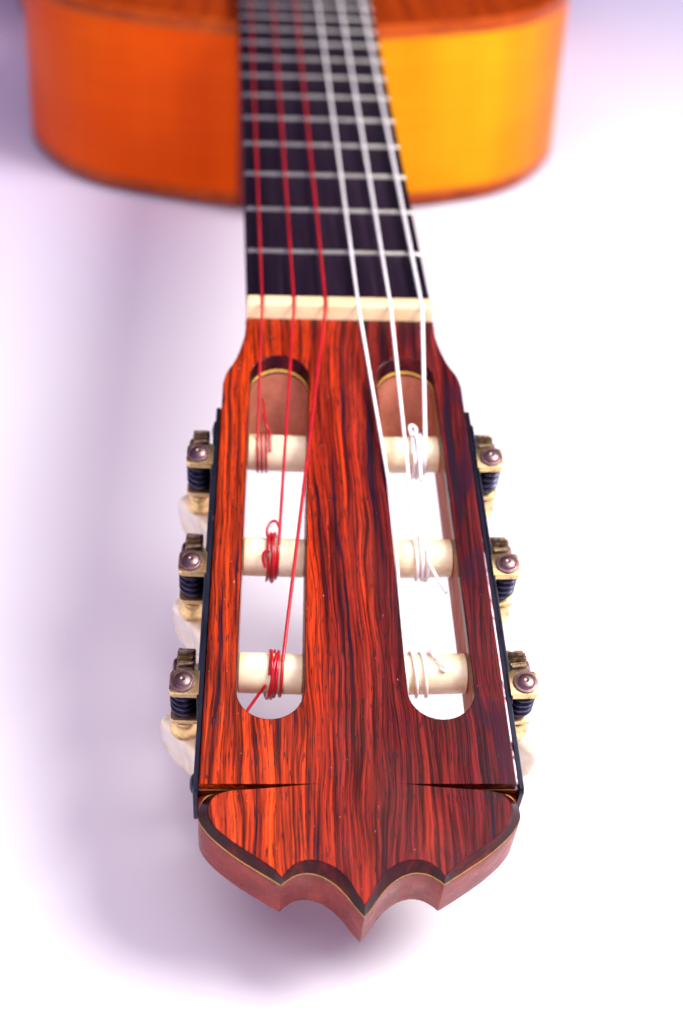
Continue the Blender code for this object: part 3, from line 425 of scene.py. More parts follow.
def cocobolo_figure(paint):
    """Colour and fine fibre: orange at the treble side, redder at the bass side, inky streaks along it."""
    warp = paint.noise((34, 11, 34), 3, 0.55)
    source = paint.node("ShaderNodeTexCoord").outputs["Object"]
    bend = paint.node("ShaderNodeCombineXYZ", {"X": paint.math("MULTIPLY", warp, 0.011)}).outputs[0]
    moved = paint.node("ShaderNodeVectorMath", {0: source, 1: bend}, operation="ADD").outputs[0]

    def streaks(across, along, detail, roughness, shift=0.0):
        scale = (across, along, across)
        return paint.noise(scale, detail, roughness, shift=(shift, shift, 0), source=moved)

    broad = streaks(95, 3.0, 3, 0.5)
    medium = streaks(360, 8.0, 4, 0.64, 3.1)
    narrow = streaks(1150, 20.0, 4, 0.64, 5.3)
    fine = streaks(2300, 70.0, 3, 0.6, 7.7)
    across = paint.math("MULTIPLY_ADD", paint.axis("X"), 11.0, 0.5)
    side = paint.math("ADD", across, paint.math("MULTIPLY_ADD", broad, 0.9, -0.45))
    ground = paint.ramp(side, [
        (0.0, (0.42, 0.024, 0.002)), (0.16, (0.70, 0.054, 0.003)), (0.34, (0.62, 0.040, 0.003)),
        (0.50, (0.52, 0.030, 0.005)), (0.62, (0.24, 0.016, 0.010)), (0.80, (0.20, 0.013, 0.011)),
        (1.0, (0.15, 0.009, 0.012)),
    ])
    tones = [(0.30, 0.14), (0.46, 0.5), (0.56, 0.9), (0.72, (1.15, 1.6, 1.0))]
    colour = paint.shade(ground, medium, tones, 1.0)
    colour = paint.shade(colour, narrow, [(0.40, 0.10), (0.49, 0.7), (0.62, 1.15)], 0.85)
    colour = paint.mix(paint.ramp(medium, [(0.37, 1.0), (0.42, 0.0)]), colour, (0.014, 0.004, 0.013))
    colour = paint.shade(colour, fine, [(0.36, 0.25), (0.54, 1.0)], 0.75)
    smudge = paint.ramp(paint.noise((75, 45, 75), 3, 0.55, 0.6), [(0.54, 0.0), (0.64, 0.7)])
    bass_half = paint.ramp(across, [(0.58, 0.0), (0.80, 1.0)])
    colour = paint.mix(paint.math("MULTIPLY", smudge, bass_half), colour, (0.020, 0.004, 0.014))
    return colour, fine


def painted_bass_edge_highlight(paint):
    """Share of a painted highlight along the bass edge, broken up and only towards the tip: pale colour
    standing in for the key light's glint on the rounded edge.
    """
    from_edge = paint.math("MULTIPLY_ADD", paint.axis("Y"), math.tan(EDGE_ANGLE), -EDGE_AT_NUT * MM)
    beyond = paint.math("MULTIPLY_ADD", paint.math("ADD", paint.axis("X"), from_edge), 1 / MM, 1.0)
    along = paint.ramp(paint.math("MULTIPLY", paint.axis("Y"), -6.0), [(0.46, 0.0), (0.6, 1.0)])
    broken = paint.ramp(paint.noise((200, 170, 200), 3, 0.6), [(0.40, 0.0), (0.50, 1.0)])
    at_edge = paint.ramp(beyond, [(0.35, 0.0), (0.55, 1.0)])
    return paint.math("MULTIPLY", at_edge, paint.math("MULTIPLY", along, broken))


def cocobolo():
    """The headstock's face: its figure, then dark pores, pale scuffs and a painted highlight along the bass
    edge.
    """
    paint = Paint("cocobolo_face", 0.3, coat=0.12, shine=0.25)
    colour, fine = cocobolo_figure(paint)
    dash_share = paint.ramp(paint.noise((3000, 210, 3000), 2, 0.5), [(0.60, 0.0), (0.66, 0.9)])
    colour = paint.mix(dash_share, colour, (0.012, 0.004, 0.008))
    scuffs = paint.noise((1400, 500, 1400), 2, 0.4, shift=(0.3, 0.1, 0))
    colour = paint.mix(paint.ramp(scuffs, [(0.755, 0.0), (0.78, 0.6)]), colour, (0.55, 0.30, 0.28))
    # Painted highlight: a broken pale pink line along the bass edge, in place of the key light's glint on the
    # rounded edge
    colour = paint.mix(painted_bass_edge_highlight(paint), colour, (0.95, 0.62, 0.66))
    haze = paint.noise((60, 25, 60), 4)
    paint.set(base_color=colour, roughness=paint.ramp(haze, [(0.3, 0.24), (0.7, 0.42)]))
    paint.bump(paint.math("SUBTRACT", fine, dash_share), 0.12, 0.00015)
    return paint.material


def plain_wood(name, colours, grain=120, coat=0.0, roughness=0.55, pores=0.2):
    return streaked_wood(name, colours, grain, coat, roughness, pores, 0.15).material


def head_edge_finish():
    """Mahogany that shows at the headstock's sides: brown red, with a soft polish."""
    colours = ((0.15, 0.011, 0.005), (0.25, 0.022, 0.011), (0.35, 0.042, 0.026))
    return plain_wood("mahogany_polished", colours, 180, 0.08, 0.3, 0.3)


def raw_cedar():
    colours = ((0.33, 0.085, 0.045), (0.42, 0.13, 0.075), (0.52, 0.19, 0.12))
    return streaked_wood("slot_wall_cedar", colours, 140, 0.0, 0.6, 0.3, 0.3).material


def rib_wood(name, colours, shoulder):
    """Side wood with fibre that follows the rim and a faint flame; the bass side's shoulder is made paler and
    more amber as painted light, standing in for the stronger light that falls on that side.
    """
    paint = Paint(name, 0.35, coat=0.02, shine=0.06)
    flame = paint.noise((26, 26, 3), 3, 0.55, 0.4)
    fibre = paint.noise((14, 14, 520), 4, 0.6)
    clouds = paint.noise((7, 7, 12), 3, 0.5)
    blend = paint.math("ADD", paint.math("MULTIPLY", flame, 0.45), paint.math("MULTIPLY", clouds, 0.55))
    common, pale = (paint.ramp(blend, list(zip((0.3, 0.5, 0.72), three))) for three in (colours, shoulder))
    # Painted light: the shoulder colours are blended in over the bass side's upper bout, where the strongest
    # light falls
    across = paint.math("MULTIPLY_ADD", paint.axis("X"), 5.0, 0.3)
    painted_light_across = paint.ramp(across, [(0.28, 0.0), (0.5, 1.0), (0.78, 1.0), (1.0, 0.35)])
    along = paint.math("ADD", paint.axis("Y"), -BODY_START * MM)
    painted_light_along = paint.ramp(along, [(0.10, 1.0), (0.32, 0.0)])
    colour = paint.mix(paint.math("MULTIPLY", painted_light_across, painted_light_along), common, pale)
    colour = paint.shade(colour, fibre, [(0.3, 0.6), (0.65, 1.0)], 0.35)
    paint.set(base_color=colour)
    paint.bump(fibre, 0.05)
    return paint.material


def ebony():
    paint = Paint("ebony", 0.5, shine=0.06)
    fibre = paint.noise((900, 24, 900), 4, 0.6)
    bands = paint.noise((110, 5, 110), 3)
    colour = paint.ramp(bands, [(0.35, (0.007, 0.004, 0.010)), (0.7, (0.022, 0.012, 0.024))])
    colour = paint.shade(colour, fibre, [(0.35, 0.4), (0.65, 1.0)], 0.6)
    paint.set(base_color=colour)
    paint.bump(fibre, 0.15)
    return paint.material


def bone():
    tint = (0.82, 0.62, 0.36)
    paint = Paint("bone", 0.3, coat=0.4)
    clouds = paint.noise((90, 160, 160), 4, 0.6)
    lines = paint.noise((40, 900, 900), 3, 0.5)
    darker = tuple(c * f for c, f in zip(tint, (0.90, 0.84, 0.72)))
    colour = paint.ramp(clouds, [(0.3, darker), (0.6, tint)])
    colour = paint.shade(colour, lines, [(0.35, 0.7), (0.6, 1.0)], 0.25)
    paint.set(base_color=colour, subsurface_weight=0.15, subsurface_radius=(0.002, 0.0015, 0.001))
    paint.bump(lines, 0.06)
    return paint.material


def roller_finish():
    """Yellowed ivory with brown smudges and a fine turned grain."""
    paint = Paint("roller_ivory", 0.28, coat=0.5)
    clouds = paint.noise((160, 160, 160), 4, 0.6)
    colour = paint.ramp(clouds, [
        (0.28, (0.64, 0.47, 0.24)), (0.48, (0.80, 0.67, 0.42)), (0.7, (0.86, 0.76, 0.54)),
    ])
    smudge = paint.noise((420, 420, 420), 3, 0.6, shift=(0.2, 0.4, 0))
    colour = paint.mix(paint.ramp(smudge, [(0.66, 0.0), (0.78, 0.55)]), colour, (0.40, 0.24, 0.12))
    paint.set(base_color=colour, subsurface_weight=0.2, subsurface_radius=(0.002, 0.0016, 0.001))
    paint.bump(paint.noise((1500, 120, 120), 2), 0.05)
    return paint.material


def pearl():
    """Translucent cream celluloid with slow milky swirls."""
    paint = Paint("pearl_button", 0.16, coat=0.7)
    swirl = paint.noise((120, 120, 60), 3, 0.5, 1.6)
    colour = paint.ramp(swirl, [
        (0.3, (0.74, 0.62, 0.40)), (0.5, (0.84, 0.76, 0.56)), (0.7, (0.90, 0.84, 0.70)),
    ])
    paint.set(base_color=colour, subsurface_weight=0.45, subsurface_radius=(0.006, 0.005, 0.004))
    paint.bump(swirl, 0.03)
    return paint.material


def metal(name, bright, dull, roughness=0.25, stain=0.5, stained=(0.06, 0.04, 0.03)):
    """Polished metal with dull patches, dark stains and fine scratches."""
    paint = Paint(name, roughness, metallic=1.0)
    patches = paint.noise((260, 260, 260), 5, 0.65)
    colour = paint.ramp(patches, [(0.32, dull), (0.6, bright)])
    stains = paint.noise((520, 520, 520), 4, 0.7, shift=(0.1, 0.3, 0.2))
    stain_share = paint.ramp(stains, [(0.52, 0.0), (0.66, stain)])
    paint.set(base_color=paint.mix(stain_share, colour, stained))
    scratches = paint.noise((4200, 300, 900), 3, 0.6)
    rough = paint.math("MULTIPLY_ADD", scratches, 0.25, roughness - 0.08)
    paint.set(roughness=paint.math("ADD", rough, paint.math("MULTIPLY", stain_share, 0.3)))
    paint.bump(scratches, 0.06, 0.0001)
    return paint.material


def black_plate():
    """Black lacquered steel, navy where it catches light, with grey worn flecks."""
    paint = Paint("black_plate", 0.34, metallic=0.55)
    patches = paint.noise((220, 90, 220), 5, 0.65)
    colour = paint.ramp(patches, [(0.3, (0.006, 0.007, 0.014)), (0.7, (0.022, 0.026, 0.050))])
    flecks = paint.noise((900, 260, 900), 3, 0.6)
    fleck_share = paint.ramp(flecks, [(0.68, 0.0), (0.76, 0.6)])
    paint.set(base_color=paint.mix(fleck_share, colour, (0.20, 0.19, 0.22)))
    paint.bump(flecks, 0.06, 0.0001)
    return paint.material


def string_finish(name, colour, dark, clear=0.0):
    paint = Paint(name, 0.28, coat=0.3)
    mottle = paint.noise((700, 60, 700), 3)
    paint.set(base_color=paint.ramp(mottle, [(0.3, dark), (0.6, colour)]), transmission_weight=clear)
    paint.bump(paint.noise((2400, 2400, 2400), 2), 0.05, 0.0001)
    return paint.material


def cedar_top():
    """Dark red lacquered top with straight, close growth rings along the strings."""
    paint = Paint("cedar_top", 0.35, coat=0.02, shine=0.06)
    wander = paint.noise((6, 2, 6), 2)
    x = paint.math("ADD", paint.axis("X"), paint.math("MULTIPLY", wander, 0.006))
    rings = paint.math("SINE", paint.math("MULTIPLY", x, 3900.0))
    uneven = paint.noise((300, 4, 300), 4, 0.65)
    lines = paint.math("MULTIPLY_ADD", rings, 0.18, uneven)
    colour = paint.ramp(lines, [
        (0.30, (0.14, 0.012, 0.001)), (0.5, (0.27, 0.028, 0.002)), (0.75, (0.38, 0.052, 0.004)),
    ])
    silk = paint.noise((60, 9, 60), 3)
    colour = paint.shade(colour, silk, [(0.3, 0.7), (0.7, 1.1)], 0.4)
    paint.set(base_color=colour)
    paint.bump(lines, 0.05)
    return paint.material


def rosette_finish():
    """Rings of dark and pale wood round a band of small diamonds."""
    paint = Paint("rosette_mosaic", 0.25, coat=0.8)
    x = paint.axis("X")
    y = paint.math("SUBTRACT", paint.axis("Y"), HOLE_Y * MM)
    squares = [paint.math("POWER", paint.math("ABSOLUTE", value), 2.0) for value in (x, y)]
    radius = paint.math("SQRT", paint.math("ADD", *squares))
    inner, width = ROSETTE_INNER * MM, (ROSETTE_OUTER - ROSETTE_INNER) * MM
    share = paint.math("MULTIPLY_ADD", radius, 1 / width, -inner / width)
    turn = paint.math("MULTIPLY", paint.math("ARCTAN2", y, x), ROSETTE_DIAMONDS / (2 * math.pi))
    band = paint.math("ABSOLUTE", paint.math("SUBTRACT", share, 0.5))
    diamond = paint.math("MULTIPLY_ADD", band, 1.9, paint.math("PINGPONG", turn, 0.5))
    red, cream, brown = (0.42, 0.10, 0.03), (0.66, 0.48, 0.24), (0.05, 0.02, 0.015)
    mosaic = paint.ramp(diamond, [(0.0, red), (0.26, red), (0.27, cream), (0.44, cream), (0.45, brown)])
    pale, dark = (0.70, 0.52, 0.28), (0.03, 0.015, 0.012)
    rings = paint.ramp(share, [
        (0.0, dark), (0.05, pale), (0.09, dark), (0.16, pale), (0.20, dark),
        (0.80, dark), (0.84, pale), (0.91, dark), (0.95, pale), (1.0, dark),
    ])
    inside = paint.ramp(band, [(0.27, 1.0), (0.28, 0.0)])
    paint.set(base_color=paint.mix(inside, rings, mosaic))
    paint.bump(paint.noise((900, 900, 900), 2), 0.05)
    return paint.material


SIDE_ORANGE = ((0.56, 0.050, 0.0), (0.70, 0.078, 0.0), (0.80, 0.13, 0.001))
VENEER_YELLOW = ((0.55, 0.26, 0.04), (0.72, 0.38, 0.07), (0.80, 0.47, 0.12))
VENEER_DARK = ((0.03, 0.012, 0.02), (0.06, 0.02, 0.03), (0.09, 0.03, 0.04))
# Partly painted shade: dark wood of the cut edges, made darker still so the crown's sloping facets and the slot
# walls read as shaded
CHAMFER_DARK_PAINTED_SHADE = ((0.008, 0.002, 0.005), (0.04, 0.005, 0.007), (0.17, 0.014, 0.008))
# Painted light: the paler amber of the sides where the light from the bass side falls strongest
SIDE_AMBER_PAINTED_LIGHT = ((0.58, 0.18, 0.0), (0.70, 0.27, 0.002), (0.80, 0.36, 0.006))
BINDING_RED = ((0.26, 0.034, 0.003), (0.40, 0.058, 0.004), (0.54, 0.09, 0.006))
PURFLING_ORANGE = ((0.42, 0.07, 0.004), (0.52, 0.10, 0.006), (0.62, 0.15, 0.01))
SPRUCE = ((0.52, 0.34, 0.17), (0.66, 0.47, 0.27), (0.74, 0.57, 0.36))
MATERIALS = {
    "cocobolo": cocobolo(),
    "mahogany": head_edge_finish(),
    "raw_cedar": raw_cedar(),
    "veneer_yellow": plain_wood("veneer_yellow", VENEER_YELLOW, 200),
    "veneer_dark": plain_wood("veneer_dark", VENEER_DARK, 200),
    "chamfer_painted_shade": plain_wood("chamfer_rosewood_painted_shade", CHAMFER_DARK_PAINTED_SHADE, 170, 0.06, 0.3, 0.3),
    # The side finish carries painted light on the bass side's shoulder
    "side": rib_wood("side_orange_painted_light", SIDE_ORANGE, SIDE_AMBER_PAINTED_LIGHT),
    "back": rib_wood("back_orange", SIDE_ORANGE, SIDE_ORANGE),
    "ebony": ebony(),
    "bone": bone(),
    "roller": roller_finish(),
    "pearl": pearl(),
    "brass": metal("aged_brass", (0.92, 0.70, 0.34), (0.68, 0.45, 0.18), 0.3, 0.5),
    "dark_brass": metal("dark_brass", (0.62, 0.46, 0.26), (0.10, 0.07, 0.06), 0.28, 0.9),
    "steel": metal("rivet_steel", (0.40, 0.25, 0.24), (0.22, 0.13, 0.13), 0.38, 0.5),
    "fret_metal": metal("fret_metal", (0.60, 0.58, 0.50), (0.44, 0.42, 0.36), 0.4, 0.1),
    "black": black_plate(),
    "worm": metal("worm_black", (0.10, 0.10, 0.15), (0.02, 0.02, 0.032), 0.3, 0.3, (0.01, 0.01, 0.01)),
    "red_string": string_finish("red_nylon", (0.58, 0.008, 0.018), (0.42, 0.005, 0.012), 0.25),
    "white_string": string_finish("white_nylon", (0.93, 0.91, 0.90), (0.82, 0.78, 0.76)),
    "cedar_top": cedar_top(),
    "rosette": rosette_finish(),
    "binding": plain_wood("binding_rosewood", BINDING_RED, 90, 0.1, 0.3, 0.3),
    "purfling": plain_wood("side_purfling", PURFLING_ORANGE, 200),
    "spruce": plain_wood("inner_spruce", SPRUCE, 160),
}


# ---------------------------------------------------------------- body

def half_rim(inset, start_x=0.0, steps=7):
    """Half of the body's outline at +X, from the neck to the tail, moved inward by the inset."""
    curve = [(x, y + BODY_START) for x, y in smooth_through(SIDE_CURVE, steps)]
    rim = np.array([(start_x, BODY_START), *curve])
    ahead, behind = np.roll(rim, -1, 0) - rim, rim - np.roll(rim, 1, 0)
    ahead[-1], behind[0] = (-1, 0), (1, 0)
    unit = [v / np.linalg.norm(v, axis=1)[:, None] for v in (ahead, behind)]
    inward = [np.stack((-v[:, 1], v[:, 0]), 1) for v in unit]
    mitre = inward[0] + inward[1]
    mitre *= 2 / (mitre**2).sum(1)[:, None]
    return [tuple(point) for point in rim + inset * mitre]


def build_soundboard():
    shape = bmesh.new()
    outline = mirrored_round(half_rim(BINDING - 0.02))
    heights = ((RIM_HIGH - TOP_THICKNESS, 0.3), (RIM_HIGH - TOP_THICKNESS + 0.3, 0.0),
               (RIM_HIGH - 0.4, 0.0), (RIM_HIGH - 0.1, 0.12), (RIM_HIGH, 0.4))
    levels = [
        (at_height(outline, z), [at_height(circle((0, HOLE_Y), HOLE_RADIUS + grow, 96), z)])
        for z, grow in heights
    ]
    stack(shape, levels)
    add_piece("soundboard_plate", shape, "cedar_top", replaces="soundboard", sharp=12)
    shape = bmesh.new()
    low, high = RIM_HIGH - 0.5, RIM_HIGH + 0.06
    inner, outer = (circle((0, HOLE_Y), radius, 128) for radius in (ROSETTE_INNER, ROSETTE_OUTER))
    stack(shape, [(at_height(outer, z), [at_height(inner, z)]) for z in (low, high)])
    add_piece("rosette_ring", shape, "rosette", replaces="rosette")


def build_strip(name, finish, line, profile, replaces=None):
    """A strip that follows the rim: line(inset) is its path and profile its (inset, height) section."""
    paths = [(line(inset), z) for inset, z in profile]
    shape = bmesh.new()
    loft(shape, [[(*path[i], z) for path, z in paths] for i in range(len(paths[0][0]))])
    add_piece(name, shape, finish, replaces=replaces)


def build_rims():
    def side_line(sign):
        return lambda inset: [(sign * x, y) for x, y in half_rim(inset, NECK_HALF + 0.1)]

    def round_line(inset):
        half = side_line(1)(inset)
        return half + [(-x, y) for x, y in reversed(half[:-1])]

    high, low = RIM_HIGH, RIM_LOW
    upper, lower = high - BINDING_HEIGHT, low + BINDING_HEIGHT
    top = [(0.0, upper), (0.0, high - 0.7), (0.2, high - 0.2), (0.7, high), (BINDING, high), (BINDING, upper)]
    build_strip("top_edge_binding", "binding", round_line, top, "top_binding")
    back = [(BINDING, lower), (BINDING, low), (0.9, low), (0.25, low + 0.25), (0.0, low + 0.9), (0.0, lower)]
    build_strip("back_edge_binding", "binding", round_line, back, "back_binding")
    under = upper - PURFLING
    line = [(0.0, under), (0.0, upper), (BINDING, upper), (BINDING, under)]
    build_strip("side_purfling", "purfling", round_line, line)
    wall = [(0.0, lower), (0.0, under), (SIDE_THICKNESS, under), (SIDE_THICKNESS, lower)]
    for side, sign in SIDES.items():
        build_strip(f"{side}_side", "side", side_line(sign), wall, f"{side}_rib")


def build_back():
    outline = mirrored_round(half_rim(BINDING - 0.02))
    rest = 0.2
    shares = np.linspace(1.0, rest, 15)

    def arch(k):
        return RIM_LOW * ((k - rest) / (1 - rest)) ** 2

    shape = bmesh.new()
    outside = [[(x * k, y * k, arch(k)) for x, y in outline] for k in shares]
    inside = [[(x * k, y * k, arch(k) + BACK_THICKNESS) for x, y in outline] for k in shares]
    loft(shape, outside[::-1] + inside)
    add_piece("arched_back", shape, "back", replaces="back_plate")
    shape = bmesh.new()
    box_solid(shape, (-1.6, BODY_END - 0.12, RIM_LOW + 6), (1.6, BODY_END + 0.15, RIM_HIGH - 6.5), 0.1)
    add_piece("tail_seam_strip", shape, "binding")


def bridge_arm(x, end):
    """Section across the bridge's thin arms, lower at their tips."""
    base, low, high = BRIDGE_BASE, BRIDGE_LOW.y + 0.2, BRIDGE_HIGH.y - 0.2
    section = [(low, 0.0), (high, 0.0), (high, 1.8), (high - 4, 3.1), ((low + high) / 2, 3.65),
               (low + 4, 3.1), (low, 1.8)]
    return [(x, y, base + height * (0.75 if end else 1.0)) for y, height in section]


def build_bridge():
    base, y = BRIDGE_BASE, SADDLE_Y
    tie_start, tie_end = y + 7.0, BRIDGE_HIGH.y
    tip = BRIDGE_HIGH.x - 0.5
    shape = bmesh.new()
    loft(shape, [bridge_arm(x, abs(x) == tip) for x in (-tip, -tip + 0.6, -41.2, 41.2, tip - 0.6, tip)])
    profile = [
        (y - 8, 0), (tie_end, 0), (tie_end, 8.2), (tie_end - 0.6, 8.9), (tie_start + 0.6, 8.9),
        (tie_start, 8.3), (tie_start, 3.7), (y + 4.6, 3.7), (y + 3.2, 6.6), (y + 1.35, 6.8), (y + 1.35, 3.6),
        (y - 1.35, 3.6), (y - 1.35, 8.5), (y - 4.4, 8.3), (y - 6.6, 6.4), (y - 8, 4.0),
    ]
    loft(shape, [[(x, py, base + height) for py, height in profile] for x in (-41.0, -40.0, 40.0, 41.0)])
    add_piece("bridge_block", shape, "ebony", replaces="bridge", sharp=25)
    shape = bmesh.new()
    for low_y in (tie_start + 0.3, tie_end - 2.2):
        box_solid(shape, (-40.6, low_y, base + 8.3), (40.6, low_y + 1.9, base + 9.1), 0.2)
    add_piece("tie_block_trim", shape, "bone")


def build_saddle():
    shape = bmesh.new()
    low, high = SADDLE_LOW, SADDLE_HIGH
    rings = []
    for x in np.linspace(low.x, high.x, 9):
        crown = high.z - 0.6 * (x / high.x) ** 2
        ring = [(-1.25, low.z), (1.25, low.z), (1.25, crown - 1.0), (0.9, crown - 0.35), (0.0, crown),
                (-0.9, crown - 0.35), (-1.25, crown - 1.0)]
        rings.append([(x, SADDLE_Y + a, z) for a, z in ring])
    loft(shape, rings)
    add_piece("saddle_bone", shape, "bone", replaces="saddle")


# ---------------------------------------------------------------- neck

def board_half_width(y):
    """Half width of the fingerboard at a distance from the nut."""
    return NUT_HIGH.x + (NECK_HALF - NUT_HIGH.x) * y / (SCALE_LENGTH / 2)


def fret_place(n):
    return SCALE_LENGTH * (1 - 2 ** (-n / 12))


def build_fingerboard():
    end = fret_place(FRETS) + BOARD_PAST_FRETS
    shape = bmesh.new()

    def ring(inset, z):
        near, far = board_half_width(0) - inset, board_half_width(end) - inset
        corners = [(near, NUT_Y), (far, NUT_Y + end - inset), (-far, NUT_Y + end - inset), (-near, NUT_Y)]
        return at_height(corners, z)

    loft(shape, [ring(0.0, RIM_HIGH + 0.02), ring(0.0, BOARD_TOP - 0.5), ring(0.15, BOARD_TOP - 0.12),
                 ring(0.5, BOARD_TOP)])
    add_piece("fretboard", shape, "ebony", replaces="fingerboard")
    for n in range(1, FRETS + 1):
        build_fret(n)


def build_fret(n):
    """A rounded wire across the board, with its ends filed down."""
    y, half = NUT_Y + fret_place(n), board_half_width(fret_place(n)) - 0.1
    shape = bmesh.new()
    rings = []
    ends = ((0.0, 0.25), (0.5, 0.75), (1.2, 1.0))
    stations = [(-half + a, size) for a, size in ends] + [(half - a, size) for a, size in reversed(ends)]
    turns = [math.pi * i / 8 for i in range(9)]
    for x, size in stations:
        base = BOARD_TOP + 0.02
        rings.append([(x, y + 1.15 * math.cos(t), base + 1.05 * size * math.sin(t)) for t in turns])
    loft(shape, rings)
    add_piece(f"fret_{n:02d}", shape, "fret_metal", replaces="fret_set" if n == 1 else None)


def build_nut():
    shape = bmesh.new()
    low, high = NUT_LOW, NUT_HIGH
    rings = []
    for x in np.linspace(low.x, high.x, 170):
        dip = max(math.exp(-(((x - s) / (r + 0.12)) ** 4)) for s, r in zip(NUT_X, STRING_RADII))
        edge = 0.5 * max(0.0, abs(x) - (high.x - 0.8)) ** 2
        top = high.z - 0.75 * dip - edge
        ring = [(low.y, RIM_HIGH), (high.y, RIM_HIGH), (high.y, top - 1.0), (high.y - 0.35, top - 0.3),
                (high.y - 1.2, top), (low.y + 1.6, top - 0.1), (low.y + 0.55, top - 0.55), (low.y, top - 1.5)]
        rings.append([(x, a, z) for a, z in ring])
    loft(shape, rings)
    add_piece("nut_bone", shape, "bone", replaces="nut", sharp=50)


def build_neck_shaft():
    turns = [math.pi * i / 28 for i in range(29)]
    shape = bmesh.new()
    loft(shape, [
        [(half * math.cos(t), NUT_Y + y, RIM_HIGH - depth * math.sin(t) ** 0.75) for t in turns]
        for y, half, depth in smooth_through(NECK_SECTIONS, 4)
    ])
    add_piece("neck_shaft", shape, "mahogany", replaces="neck")


def build_heel():
    turns = [math.pi * i / 24 for i in range(25)]
    shape = bmesh.new()
    rings = []
    for height, half, reach in smooth_through(HEEL_SECTIONS, 4):
        curve = [(half * math.cos(t), BODY_START - reach * math.sin(t) ** 1.2, height) for t in turns]
        rings.append([(half, BODY_START + 1.5, height), *curve, (-half, BODY_START + 1.5, height)])
    loft(shape, rings)
    add_piece("neck_heel", shape, "mahogany")
    shape = bmesh.new()
    start, low = BODY_START, RIM_LOW
    box_solid(shape, (-NECK_HALF, start, low + 0.4), (NECK_HALF, start + 30, RIM_HIGH - 0.05), 0.2)
    box_solid(shape, (-26, start + 29, low + 3), (26, start + 72, low + 16), 0.6)
    add_piece("neck_block", shape, "mahogany")
    shape = bmesh.new()
    cap = [(16.2 * math.cos(t), -21.3 * math.sin(t) ** 1.2) for t in turns]
    cap = [(16.2, 0.0), *cap, (-16.2, 0.0)]
    levels = ((0.97, low - 0.2), (1.0, low + 0.2), (1.0, low + 1.8))
    loft(shape, [at_height([(x * size, start + y * size) for x, y in cap], z) for size, z in levels])
    add_piece("heel_cap", shape, "cocobolo")


# ---------------------------------------------------------------- headstock

def head_body_loop(inset, depth):
    """The headstock's outline from the nut to the cut, moved in a little along its sides."""
    half = [(x - inset, s) for x, s in smooth_through(FLARE, 6)]
    for t in (0.25, 0.5, 0.75, 1.0):
        x, s = np.array(EDGE_START) * (1 - t) + np.array(EDGE_END) * t
        half.append((x - inset, s))
    return [(x, -s, -depth) for x, s in mirrored_round(half)]


def crown_loop(depth, inset=0.0):
    """The crown's outline: it slopes out from the face to the veneer, and at the cut on to the core."""
    share = min(1.0, depth / PLATE)
    lower = min(1.0, max(0.0, (depth - PLATE) / (CROWN_LOW_DEPTH - PLATE)))
    top, middle, low = (smooth_through(c, 4) for c in (SHOULDER_TOP, SHOULDER_MIDDLE, SHOULDER_LOW))
    shoulder = lerp_loops(lerp_loops(top, middle, share), low, lower)
    scallop = lerp_loops(smooth_through(SCALLOP_TOP, 5), smooth_through(SCALLOP_LOW, 5), share)
    half = shoulder[:-1] + scallop
    pulled = [(x * (1 - inset / 36), s - inset * (s - CUT_S) / 20) for x, s in half]
    return [(x, -s, -depth) for x, s in mirrored_round(pulled)]


def side_point(sign, u, e, d):
    """A point beside one edge of the headstock, in the headstock's own frame."""
    across, along = math.cos(EDGE_ANGLE), math.sin(EDGE_ANGLE)
    x = EDGE_START[0] + u * across + e * along
    s = EDGE_START[1] - u * along + e * across
    return (sign * x, -s, -d)


def slot_loop(sign, grow, depth):
    """A slot's outline at a depth: straight sides along the headstock's edge and round ends."""
    slope = (SLOT_NUT_END_LOW - SLOT_NUT_END) / HEAD_THICKNESS
    radius = SLOT_WIDTH / 2
    middle = -RAIL - radius
    start = SLOT_NUT_END + slope * depth - EDGE_START[1] + radius
    stop = SLOT_TIP_END - EDGE_START[1] - radius
    points = []
    for e, turn in ((stop, 0.0), (start, math.pi)):
        for i in range(25):
            angle = turn + math.pi * i / 24
            across, along = (radius + grow) * math.cos(angle), (radius + grow) * math.sin(angle)
            points.append(side_point(sign, middle + across, e + along, depth))
    return points


def head_layer(shape, steps, wall_slots=(0, 0), crown_slot=None):
    """Both parts of one layer from (depth, inset of the sides, growth of the slots) steps."""
    levels = [
        (head_body_loop(inset, depth), [slot_loop(sign, grow, depth) for sign in SIDES.values()])
        for depth, inset, grow in steps
    ]
    stack(shape, levels, wall_slots)
    low, high = steps[-1][0], steps[0][0]
    kinks = [depth for depth in (0.12, PLATE, CROWN_LOW_DEPTH) if high < depth < low]
    rounding = {0.0: 0.16, HEAD_THICKNESS: 0.4}
    depths = [high, *kinks, *([HEAD_THICKNESS - 0.5] if low == HEAD_THICKNESS else []), low]
    loops = [crown_loop(depth, rounding.get(depth, 0.0)) for depth in depths]
    slot = wall_slots[0] if crown_slot is None else crown_slot
    stack(shape, [(loop, []) for loop in loops], (slot, slot))


